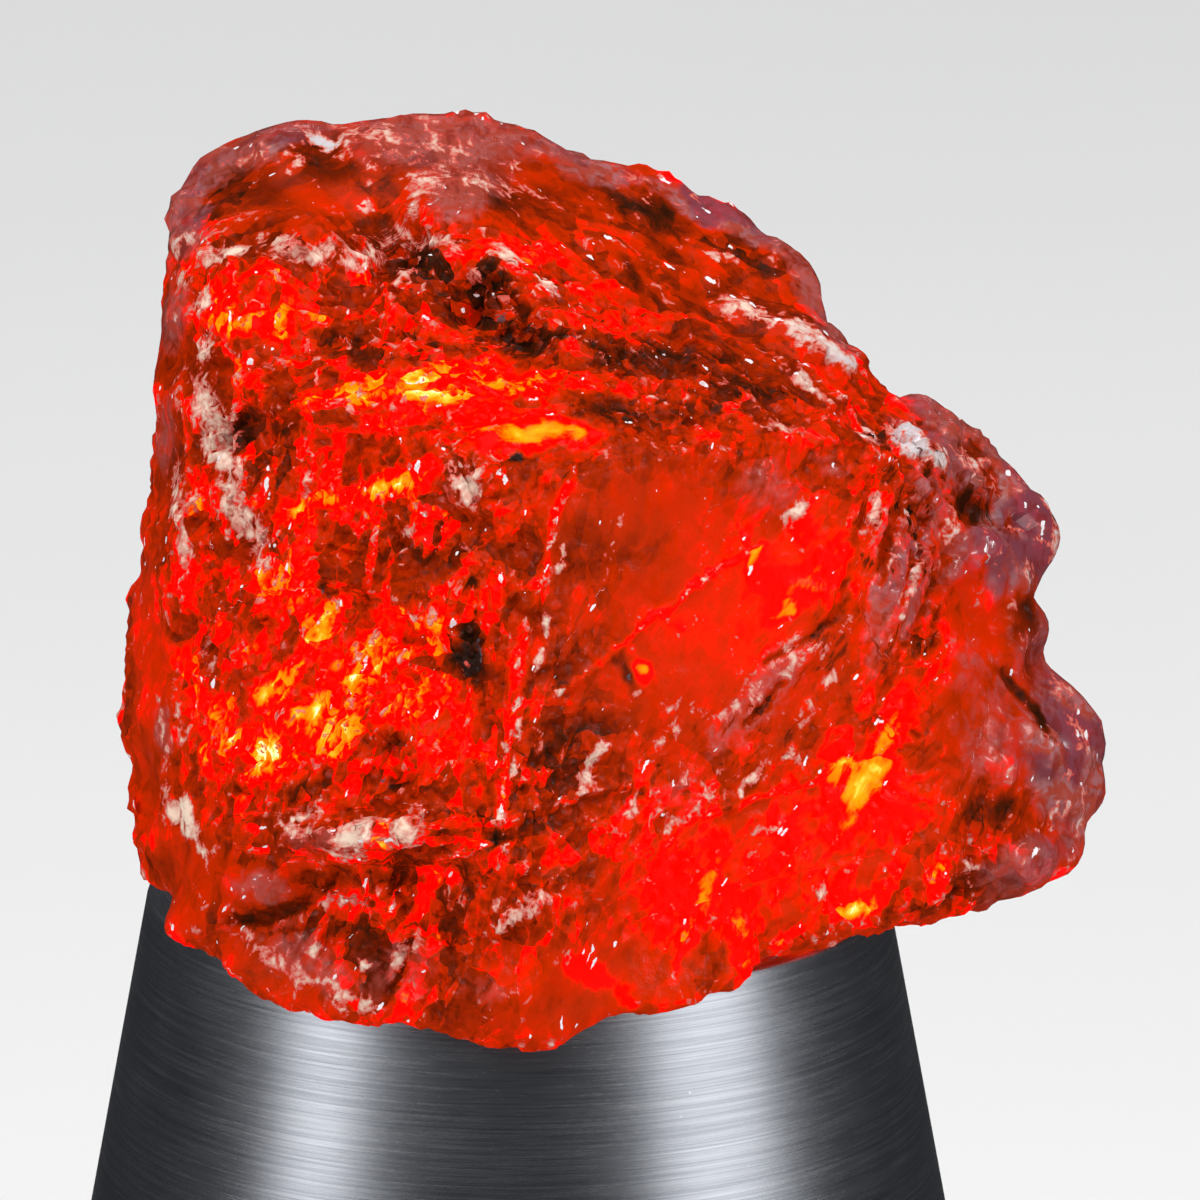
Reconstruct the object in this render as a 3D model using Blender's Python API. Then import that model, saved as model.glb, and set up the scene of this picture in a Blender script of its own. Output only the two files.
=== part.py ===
"""A rough piece of red-orange sphalerite on a turned steel stand.

The stand is a plain steel cone with a flat top. The stone was broken and cleaved from the rock, so it is one solid:
two big faces that meet in an upright front ridge, a stepped top with a hollow in it, a high back ridge, and lumps
along its right side. It rests on the stand by the flat part of its underside, and its front hangs a little
below the stand's rim.

The origin is at the centre of the stand's foot, +Z is up, and the front ridge faces -Y.
"""

import math

import bmesh
import bpy
from mathutils import Vector, noise
from mathutils.bvhtree import BVHTree

MM = 0.001
MERGE_DISTANCE = 0.001 * MM

# The stand, in millimetres.
STAND_HEIGHT = 17.0
STAND_TOP_RADIUS = 7.6
STAND_TAPER = math.radians(10)
STAND_CHAMFER = 0.3
STAND_SIDES = 96
STAND_SHARP_EDGE = math.radians(25)

# How the stone sits on the stand.
SEAT_GAP = 0.1
SEAT_CLEARANCE = 0.55

# The stone is surveyed looking down on it at this angle: x to the right, up across the line of sight, and back
# along it, in millimetres from the centre of the stand's top.
SURVEY_TILT = math.radians(15)
HEART = (1.3, 5.4, -2.8)

# The big cleavage face on the right of the front ridge is flat, so its points give only x and up.
CLEAVAGE_DEPTH = -10.04
CLEAVAGE_PER_X = 0.4376
CLEAVAGE_PER_UP = -0.0464

SKYLINE = [
    (-7.1, 13.0, -3.0), (-6.8, 14.0, -2.4), (-6.25, 14.85, -2.1), (-5.3, 15.35, -1.9), (-4.4, 15.6, -1.8),
    (-3.8, 15.35, -1.9), (-2.9, 15.6, -1.5), (-1.9, 15.75, -1.2), (-0.7, 15.7, -0.9), (0.4, 15.4, -0.7),
    (1.6, 14.95, -0.6), (2.8, 14.45, -0.6), (4.0, 13.95, -0.8), (5.2, 13.4, -1.1), (5.95, 12.75, -1.4),
    (6.3, 11.9, -1.8), (6.95, 10.8, -2.3), (7.4, 10.1, -2.4),
]
RIGHT_LUMPS = [
    (8.3, 9.75, -2.2), (9.5, 9.1, -2.2), (10.4, 8.2, -2.4), (10.95, 7.15, -2.6), (11.05, 6.6, -2.7),
    (10.6, 6.0, -2.8), (10.45, 5.5, -2.8), (10.8, 5.05, -3.0), (10.45, 4.5, -3.0), (11.2, 4.0, -2.8),
    (11.9, 3.1, -2.8), (12.15, 2.3, -2.9), (11.95, 1.1, -3.0), (11.6, 0.3, -3.2), (10.8, -0.15, -3.5),
]
LOWER_EDGE = [
    (9.3, -0.65, -4.3), (7.4, -1.1, -5.6), (6.0, -1.55, -7.0), (4.5, -2.15, -8.2), (2.7, -2.7, -9.0),
    (1.2, -3.2, -9.4), (0.0, -3.5, -9.5), (-1.0, -3.35, -9.4), (-2.0, -3.2, -9.1), (-3.4, -2.95, -8.6),
    (-4.6, -2.6, -8.0), (-5.6, -2.05, -7.3), (-6.35, -1.4, -6.5), (-6.9, -0.8, -5.7),
]
LEFT_EDGE = [
    (-7.7, 0.0, -4.4), (-7.95, 1.2, -4.0), (-8.05, 2.8, -3.6), (-8.1, 4.4, -3.4), (-8.05, 5.6, -3.4),
    (-7.7, 6.6, -3.5), (-7.5, 8.1, -3.4), (-7.4, 10.1, -3.4), (-7.2, 11.9, -3.3),
]
FRONT_RIDGE = [
    (1.2, 8.3, -9.9), (0.85, 7.2, -10.1), (0.5, 5.9, -10.2), (0.05, 4.0, -10.4), (-0.25, 2.4, -10.4),
    (-0.35, 1.2, -10.4), (-0.35, 0.15, -10.2),
]
CLEAVAGE_FACE = [
    (2.5, 8.6), (4.2, 8.7), (5.6, 9.05), (6.8, 8.85), (7.35, 8.2), (7.6, 6.9), (7.8, 5.65), (8.3, 3.6), (8.6, 1.8),
    (8.75, 0.2), (8.1, -0.3), (6.3, -0.9), (4.4, -1.5), (2.1, -1.5), (3.4, 5.6), (5.6, 4.2), (3.2, 1.8), (6.2, 1.0),
]
LEFT_FACE = [
    (-5.6, 8.1, -7.1), (-4.6, 6.5, -8.3), (-2.4, 8.1, -9.2), (-2.8, 5.7, -9.3), (-4.4, 3.6, -8.7), (-2.0, 3.2, -9.9),
    (-0.75, 5.7, -10.0), (-5.6, 4.6, -7.6), (-1.4, 8.6, -9.7), (0.7, 8.5, -10.0), (-3.7, 8.6, -8.3),
]
LEFT_SIDE = [
    (-6.45, 6.5, -6.2), (-6.65, 9.1, -5.4), (-6.75, 11.2, -4.9), (-7.5, 3.6, -5.2), (-7.25, 1.6, -5.6),
    (-6.65, 0.15, -6.2), (-6.25, 2.0, -7.0), (-7.2, 5.4, -5.0),
]
FRONT_LEDGE = [
    (-6.15, 9.8, -6.0), (-5.2, 9.75, -7.2), (-3.8, 9.6, -8.3), (-1.8, 10.0, -8.8), (0.5, 10.0, -9.0),
]
TOP_STEP_RIM = [
    (-6.2, 12.7, -4.6), (-5.0, 12.85, -5.1), (-3.6, 13.0, -5.3), (-2.0, 13.05, -5.3), (-0.75, 12.75, -5.6),
    (0.47, 12.0, -6.1), (1.5, 11.1, -6.7),
]
TOP_STEP = [
    (-4.4, 11.8, -6.5), (-5.4, 11.2, -6.6), (-3.4, 10.95, -7.2), (-1.7, 10.8, -7.4), (0.9, 10.5, -7.9),
]
TOP_HOLLOW = [
    (-3.4, 11.9, -5.4), (-2.5, 11.9, -4.8), (-1.5, 11.5, -4.6), (-0.4, 11.2, -5.3),
]
BACK_LOBE = [
    (-3.6, 13.7, -3.7), (-5.4, 13.8, -3.8), (-2.0, 14.0, -3.5), (-4.4, 14.6, -2.9), (-0.75, 14.2, -3.0),
]
VALLEY = [
    (1.7, 11.8, -4.5), (3.3, 11.6, -3.8), (4.5, 11.2, -3.5), (0.7, 13.0, -3.4), (2.5, 13.0, -2.6), (4.1, 12.4, -2.4),
    (5.6, 11.4, -2.9),
]
VALLEY_RIDGE = [
    (2.5, 10.75, -6.5), (4.1, 10.6, -5.8), (5.35, 10.3, -5.2), (6.6, 9.8, -4.4),
]
SHELF = [
    (1.5, 9.3, -9.2), (1.7, 9.9, -8.3), (3.7, 9.7, -7.3), (5.8, 9.5, -6.3), (7.1, 9.0, -5.4),
]
RIGHT_SIDE = [
    (7.8, 8.9, -4.4), (8.6, 8.7, -3.9), (8.7, 7.7, -5.0), (9.3, 7.45, -4.0), (9.8, 6.9, -4.7), (10.2, 6.5, -4.0),
    (9.6, 5.25, -4.5), (9.8, 3.6, -4.9), (8.5, 5.65, -5.9), (8.9, 3.6, -6.0), (10.6, 3.2, -4.5), (11.05, 2.0, -4.5),
    (10.0, 1.6, -5.2), (10.6, 0.6, -4.5), (9.4, 0.15, -5.3),
]
LOWER_LEDGE = [
    (-4.4, 1.6, -9.0), (-3.0, 1.0, -9.9), (-1.6, 1.2, -10.2),
]
UNDER_LEDGE = [
    (-5.4, 0.0, -7.8), (-3.8, -0.25, -8.7), (-2.0, -0.45, -9.4), (-0.95, -1.05, -9.8), (-2.8, -1.9, -9.1),
    (-4.4, -1.5, -8.2), (0.9, -1.2, -10.0), (0.4, -2.3, -10.0),
]
BACK = [
    (-5.6, 14.0, 0.4), (-2.2, 14.5, 1.4), (1.5, 13.4, 1.9), (4.8, 11.6, 1.4), (7.4, 8.8, 0.5), (9.6, 6.8, -0.6),
    (-1.4, 10.6, 4.3), (-0.9, 6.6, 5.3), (-0.2, 2.6, 4.7), (-7.0, 9.6, 0.6), (-7.5, 5.2, 0.4), (-5.9, 1.8, 1.4),
    (2.9, 9.2, 3.5), (3.3, 7.7, 4.6), (6.5, 6.6, 2.7), (7.0, 5.0, 3.4), (10.4, 3.4, -0.2), (9.8, 1.2, 0.4),
    (-4.2, 1.3, 3.2), (2.6, 1.4, 4.2), (6.2, 1.2, 2.7),
]
UNDERSIDE = [
    (-4.0, 0.1, 0.0), (0.0, 0.1, 0.0), (4.0, 0.1, 0.0), (-3.5, -0.85, -3.5), (0.0, -0.85, -3.5), (3.5, -0.85, -3.5),
    (6.5, -0.3, -2.5), (0.0, -1.85, -7.2), (9.0, 0.2, -2.0),
]

# Colours.
STONE_COLOUR = (0.62, 0.05, 0.01)
STEEL_COLOUR = (0.55, 0.56, 0.58)

# The broken surface between the surveyed points, in millimetres.
SURFACE_POINTS_LEVEL = 6
CHIP_SIZES = ((2.3, 0.34), (1.05, 0.15))
CHIP_TILT = 2.4
CHIP_SHUFFLE = 17.3
SWELL_SIZE = 3.2
SWELL_HEIGHT = 0.12
CLEAVAGE_SMOOTHNESS = 0.75
CLEAVAGE_LIKENESS = (0.9, 0.98)
EDGE_WEAR = 0.25
STONE_TRIANGLES = 8400


def from_survey(x, up, back):
    """A surveyed point, in metres, in the part's own frame."""
    along_y = back * math.cos(SURVEY_TILT) + up * math.sin(SURVEY_TILT)
    along_z = up * math.cos(SURVEY_TILT) - back * math.sin(SURVEY_TILT)
    return Vector((x, along_y, STAND_HEIGHT + along_z)) * MM


def cleavage_point(x, up):
    """A surveyed point on the flat cleavage face."""
    return x, up, CLEAVAGE_DEPTH + CLEAVAGE_PER_X * x + CLEAVAGE_PER_UP * up


def surveyed_points():
    """All the stone's points, in metres, in the part's own frame."""
    groups = (
        SKYLINE, RIGHT_LUMPS, LOWER_EDGE, LEFT_EDGE, FRONT_RIDGE, LEFT_FACE, LEFT_SIDE, FRONT_LEDGE, TOP_STEP_RIM,
        TOP_STEP, TOP_HOLLOW, BACK_LOBE, VALLEY, VALLEY_RIDGE, SHELF, RIGHT_SIDE, LOWER_LEDGE, UNDER_LEDGE, BACK,
        UNDERSIDE,
    )
    points = [point for group in groups for point in group]
    points += [cleavage_point(x, up) for x, up in CLEAVAGE_FACE]
    return [from_survey(*point) for point in points]


def new_object(name, bm, material):
    mesh = bpy.data.meshes.new(name)
    bm.to_mesh(mesh)
    bm.free()
    mesh.materials.append(material)
    made = bpy.data.objects.new(name, mesh)
    bpy.context.scene.collection.objects.link(made)
    return made


def new_material(name, colour, roughness, metallic):
    material = bpy.data.materials.new(name)
    material.use_nodes = True
    shader = material.node_tree.nodes["Principled BSDF"]
    shader.inputs["Base Color"].default_value = (*colour, 1.0)
    shader.inputs["Roughness"].default_value = roughness
    shader.inputs["Metallic"].default_value = metallic
    return material


def rough_block(heart):
    """A search tree of the flat facets between the surveyed points, which are joined as they lie round the heart."""
    points = surveyed_points()
    bm = bmesh.new()
    corners = [bm.verts.new((point - heart).normalized()) for point in points]
    bmesh.ops.convex_hull(bm, input=bm.verts)
    for corner, point in zip(corners, points):
        corner.co = point
    bmesh.ops.triangulate(bm, faces=bm.faces)
    tree = BVHTree.FromBMesh(bm)
    bm.free()
    return tree


def chip_relief(place, size, height):
    """Height of a surface broken into small flat chips, each tilted its own way."""
    near = noise.voronoi(place / size)[1][0]
    turn = noise.cell_vector(near * CHIP_SHUFFLE) - Vector((0.5, 0.5, 0.5))
    return height * CHIP_TILT * (place / size - near).dot(turn)


def relief(place):
    """How far the broken surface stands proud at a place, in millimetres."""
    height = SWELL_HEIGHT * noise.fractal(place / SWELL_SIZE, 0.9, 2.0, 3)
    for size, chip_height in CHIP_SIZES:
        height += chip_relief(place, size, chip_height)
    return height


def cleavage_normal():
    corner, right, above = (from_survey(*cleavage_point(x, up)) for x, up in ((0, 0), (1, 0), (0, 1)))
    return (right - corner).cross(above - corner).normalized()


def roughness_of(normal, cleavage):
    """The share of the relief that a facet has: less where it faces as the smooth cleavage face does."""
    other_way, same_way = CLEAVAGE_LIKENESS
    likeness = (normal.dot(cleavage) - other_way) / (same_way - other_way)
    return 1 - CLEAVAGE_SMOOTHNESS * min(max(likeness, 0.0), 1.0)


def keep_off_stand(point):
    """Where the stone lies over the stand, its underside is flat and clears the stand's top."""
    reach = math.hypot(point.x, point.y)
    seat = (STAND_HEIGHT + SEAT_GAP) * MM
    if reach < (STAND_TOP_RADIUS + SEAT_CLEARANCE) * MM:
        point.z = max(point.z, seat)
    return point


def make_stone(material):
    """The block's facets with the broken surface on them, and a flat seat underneath."""
    heart = from_survey(*HEART)
    block = rough_block(heart)
    cleavage = cleavage_normal()
    bm = bmesh.new()
    bmesh.ops.create_icosphere(bm, subdivisions=SURFACE_POINTS_LEVEL, radius=1.0)
    for vertex in bm.verts:
        away = vertex.co.normalized()
        hit, normal = block.ray_cast(heart, away)[:2]
        vertex.co = hit + away * roughness_of(normal, cleavage) * relief(hit / MM) * MM
    bmesh.ops.smooth_vert(bm, verts=bm.verts, factor=EDGE_WEAR, use_axis_x=True, use_axis_y=True, use_axis_z=True)
    for vertex in bm.verts:
        vertex.co = keep_off_stand(vertex.co)
    stone = new_object("sphalerite", bm, material)
    thin = stone.modifiers.new("fewer facets", "DECIMATE")
    thin.ratio = STONE_TRIANGLES / len(stone.data.polygons)
    return stone


def make_stand(material):
    """A cone turned from its profile, with a chamfered rim and foot."""
    foot_radius = STAND_TOP_RADIUS + STAND_HEIGHT * math.tan(STAND_TAPER)
    profile = [
        (0.0, STAND_HEIGHT),
        (STAND_TOP_RADIUS - STAND_CHAMFER, STAND_HEIGHT),
        (STAND_TOP_RADIUS, STAND_HEIGHT - STAND_CHAMFER),
        (foot_radius, STAND_CHAMFER),
        (foot_radius - STAND_CHAMFER, 0.0),
        (0.0, 0.0),
    ]
    bm = bmesh.new()
    rings = [bm.verts.new((radius * MM, 0.0, height * MM)) for radius, height in profile]
    edges = [bm.edges.new(pair) for pair in zip(rings, rings[1:])]
    bmesh.ops.spin(
        bm, geom=rings + edges, cent=(0, 0, 0), axis=(0, 0, 1), angle=math.tau, steps=STAND_SIDES, use_merge=True
    )
    bmesh.ops.remove_doubles(bm, verts=bm.verts, dist=MERGE_DISTANCE)
    bmesh.ops.recalc_face_normals(bm, faces=bm.faces)
    stand = new_object("stand", bm, material)
    stand.data.shade_smooth()
    stand.data.set_sharp_from_angle(angle=STAND_SHARP_EDGE)
    return stand


def main():
    for old in list(bpy.data.objects):
        bpy.data.objects.remove(old)
    make_stone(new_material("sphalerite", STONE_COLOUR, roughness=0.3, metallic=0.0))
    make_stand(new_material("brushed steel", STEEL_COLOUR, roughness=0.32, metallic=1.0))


main()
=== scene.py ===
"""A rough, glowing piece of sphalerite on its brushed steel stand, dressed for a studio picture.

The stone's broken surface is made from the part's own solid: its surface is taken over at a fine scale and
then broken along the directions in which sphalerite cleaves. The painted glow, which stands in for light
shone up through the stone, the pale edges with their painted highlights and the painted shade of the dark
hollows are painted by the places they have on the real stone.

Places on the stone are given as a person sees them who looks down on it at VIEW_TILT: x to the right, up
across the line of sight, and back along it, in millimetres from the centre of the stand's top.
"""

import math

import bmesh
import bpy
import numpy as np
from bpy.props import FloatProperty, FloatVectorProperty, IntProperty, PointerProperty
from mathutils import Matrix, Vector, kdtree, noise
from mathutils.bvhtree import BVHTree


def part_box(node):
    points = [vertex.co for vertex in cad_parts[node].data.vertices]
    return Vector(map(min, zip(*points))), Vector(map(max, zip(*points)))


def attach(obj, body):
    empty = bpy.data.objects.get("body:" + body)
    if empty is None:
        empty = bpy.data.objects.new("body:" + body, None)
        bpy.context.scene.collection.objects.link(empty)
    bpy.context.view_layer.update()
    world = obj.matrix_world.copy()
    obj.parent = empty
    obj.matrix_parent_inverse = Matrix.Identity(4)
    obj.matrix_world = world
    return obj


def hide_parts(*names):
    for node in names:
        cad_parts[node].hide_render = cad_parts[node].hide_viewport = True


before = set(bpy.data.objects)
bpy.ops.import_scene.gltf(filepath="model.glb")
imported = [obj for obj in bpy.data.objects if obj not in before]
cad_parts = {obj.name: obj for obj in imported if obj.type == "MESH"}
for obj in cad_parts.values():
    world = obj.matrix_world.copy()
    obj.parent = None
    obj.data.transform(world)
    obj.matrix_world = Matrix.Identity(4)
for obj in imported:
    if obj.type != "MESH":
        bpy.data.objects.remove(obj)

bl_info = {
    "name": "Rough sphalerite on a stand",
    "version": (1, 0, 0),
    "blender": (4, 5, 0),
    "location": "3D View > Sidebar > Sphalerite",
    "description": "Breaks and paints a rough sphalerite, turns its steel stand and sets up the studio",
    "category": "Object",
}

MM = 0.001
VIEW_TILT = math.radians(15)
TOWARDS_VIEWER = (0.0, -math.cos(VIEW_TILT), math.sin(VIEW_TILT))
STAND_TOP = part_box("stand")[1].z

# A place inside the stone from which all of its surface is in sight.
HEART = (1.3, 5.4, -2.8)

# What the picture shows, in millimetres: its width, and its middle from the centre of the stand's top.
FRAME_WIDTH = 24.42
FRAME_MIDDLE = (1.69, 5.66)

# Where the random numbers of each kind of relief and of the ragged patches start, and how many rounds of
# smoothing the surface's directions get before each use.
SEEDS = {"steps": 11, "facets": 12, "crumbs": 13, "knobs": 15, "ragged": 16}
ROUNDS = {"steps": 12, "facets": 4, "crumbs": 2, "knobs": 8, "front": 30, "relief": 3}

# How the crystal lies: its turn about the upright, and its lean towards the viewer.
CRYSTAL_TURN = math.radians(21)
CRYSTAL_LEAN = math.radians(7)
PLANE_SCATTER = 0.06

# How far facets and crumbs lean from the surface, the least that a facet counts as facing outwards, and how
# much smooth places are spared by each relief.
FACET_LEAN = 0.22
CRUMB_LEAN = 0.35
LEAST_FACING = 0.5
STEPS_SPARED = 1.15
FACETS_SPARED = 0.93
SMOOTH_BEHIND = 0.55
CREASE = math.radians(32)

# How much of a chamfer on the stand its rounded corners take.
ROUNDING = 0.35

# Between which places, in millimetres in front of the stand's axis, the front's relief fades in.
SMOOTH_FADE = (0.5, 3.0)
LUMPS_FADE = (1.2, 3.0)
KNOBS_FADE = (-2.0, 0.0)

# Where the front's colours fade out, by how far the surface faces the viewer.
FRONT_FADE = (-0.58, -0.28)

# How far, in millimetres, and at what scale the patches' edges are pushed about.
RAGGED = ((1.3, 0.18), (4.5, 0.11))

# How softly a patch ends: how fast it fades, and how suddenly.
PATCH_FADE = 0.7
PATCH_EDGE = 1.5

# Edges and brows: the rounds of smoothing that they are measured against, and the height in millimetres
# at which they are full.
RELIEFS = (("edge", 10, 0.05), ("brow", 60, 0.22))

# How smooth the cloudy layers are, and how much finer each of their octaves is than the last.
CLOUD_SMOOTHNESS = 0.8
CLOUD_STEP = 2.0

# How patterns are squeezed along the grain, across it and in depth, and the least hold a grain needs.
GRAIN_SQUEEZE = (1.2, 3.2, 1.8)
LEAST_GRAIN = 0.3

# Patches on the stone: x, up, half length, half width, turn in degrees, strength.
# Painted glow: orange and yellow spots where the stone is painted as if lit from within.
GLOWS = (
    (-5.1, 2.6, 0.65, 0.5, -30, 1.1),
    (-4.85, 3.9, 0.55, 0.32, 60, 0.95),
    (-4.0, 3.25, 0.75, 0.5, 75, 0.9),
    (-4.1, 4.75, 0.65, 0.28, 60, 0.85),
    (-3.0, 4.5, 0.8, 0.48, 15, 0.95),
    (-2.3, 3.7, 0.4, 0.3, -40, 0.65),
    (-1.8, 5.3, 0.8, 0.4, 0, 0.5),
    (-6.2, 2.5, 0.35, 0.14, 90, 0.6),
    (-4.3, 7.3, 0.32, 0.28, 0, 1.0),
    (-3.85, 7.65, 0.28, 0.14, 50, 0.85),
    (-2.4, 7.95, 0.8, 0.17, 20, 0.85),
    (0.55, 8.95, 1.05, 0.32, 3, 1.15),
    (-1.9, 10.0, 1.3, 0.38, 2, 0.84),
    (-2.2, 9.45, 0.85, 0.22, 15, 0.72),
    (-0.1, 10.0, 1.1, 0.3, -5, 0.76),
    (-3.6, 9.7, 1.0, 0.26, 12, 0.84),
    (-5.2, 11.2, 0.8, 0.3, 5, 0.7),
    (-5.2, 10.0, 0.4, 0.2, -40, 0.75),
    (5.8, 6.0, 0.7, 0.4, 20, 0.72),
    (5.4, 5.5, 0.35, 0.18, 30, 0.9),
    (4.8, 6.4, 0.28, 0.13, 80, 0.95),
    (7.0, 1.9, 1.0, 0.34, 60, 0.92),
    (6.5, 2.2, 0.4, 0.3, 60, 0.75),
    (7.4, 2.8, 0.5, 0.28, 40, 0.75),
    (6.9, -0.5, 0.6, 0.2, 25, 0.9),
    (8.5, 0.25, 0.22, 0.11, 30, 0.8),
    (5.3, -1.1, 0.42, 0.13, 35, 0.85),
    (4.45, -1.1, 0.65, 0.24, 95, 0.85),
    (3.8, -0.1, 0.9, 0.2, 75, 0.65),
    (3.4, -1.2, 0.5, 0.2, 60, 0.7),
    (2.65, 4.2, 0.18, 0.18, 0, 0.9),
    (-2.5, 0.6, 0.2, 0.35, 0, 0.5),
    (1.7, -1.8, 0.6, 0.22, -25, 0.75),
    (2.2, -2.3, 0.3, 0.12, -30, 0.7),
    (-1.5, 0.3, 0.3, 0.22, 0, 0.75),
)
# Clear red: the stone's own red, raised towards the painted glow where it shines brightest.
REDS = (
    (4.6, 0.4, 3.9, 1.5, 14, 1.0),
    (7.6, 1.8, 1.5, 1.1, 80, 1.0),
    (2.2, -0.6, 1.6, 1.0, 20, 0.5),
    (4.4, 5.4, 3.2, 2.2, 35, 0.72),
    (7.9, 3.7, 1.7, 0.6, 62, 1.3),
    (9.2, 5.2, 1.3, 0.55, 80, 0.6),
    (3.2, 12.0, 1.8, 0.5, -30, 0.5),
    (-7.3, 4.8, 1.4, 0.5, 90, 0.55),
    (6.1, 6.9, 0.7, 0.6, 0, 1.0),
    (2.4, 4.6, 0.7, 0.3, -50, 0.9),
    (4.6, 5.0, 0.6, 0.4, 60, 0.8),
    (6.0, 5.8, 1.1, 0.8, 20, 0.9),
    (-1.6, 9.0, 2.6, 0.45, 3, 1.0),
    (-0.6, 9.9, 2.2, 0.5, 0, 1.0),
    (-5.3, 11.4, 1.1, 0.6, 0, 0.9),
    (0.4, 12.6, 1.6, 0.45, -32, 1.0),
    (-4.0, 3.9, 2.2, 1.7, 40, 0.8),
    (-6.3, 4.0, 0.7, 2.2, 0, 0.7),
    (-1.6, 3.3, 0.8, 1.0, 0, 0.7),
    (-3.2, 8.0, 1.6, 0.6, 20, 0.8),
    (-6.2, 1.0, 0.5, 1.0, 0, 0.5),
    (3.9, 12.5, 0.9, 0.4, -35, 0.6),
    (2.8, 9.9, 1.0, 0.35, -5, 0.8),
    (-2.2, 13.2, 0.25, 0.6, 0, 0.7),
    (-3.6, 13.75, 0.9, 0.24, -8, 0.7),
    (9.5, 5.3, 0.6, 1.0, 0, 0.7),
    (6.3, 10.2, 0.7, 0.3, -40, 0.7),
    (-6.5, 0.4, 1.0, 0.7, -50, 0.4),
    (-1.7, 0.0, 0.4, 0.7, 0, 0.6),
)
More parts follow.
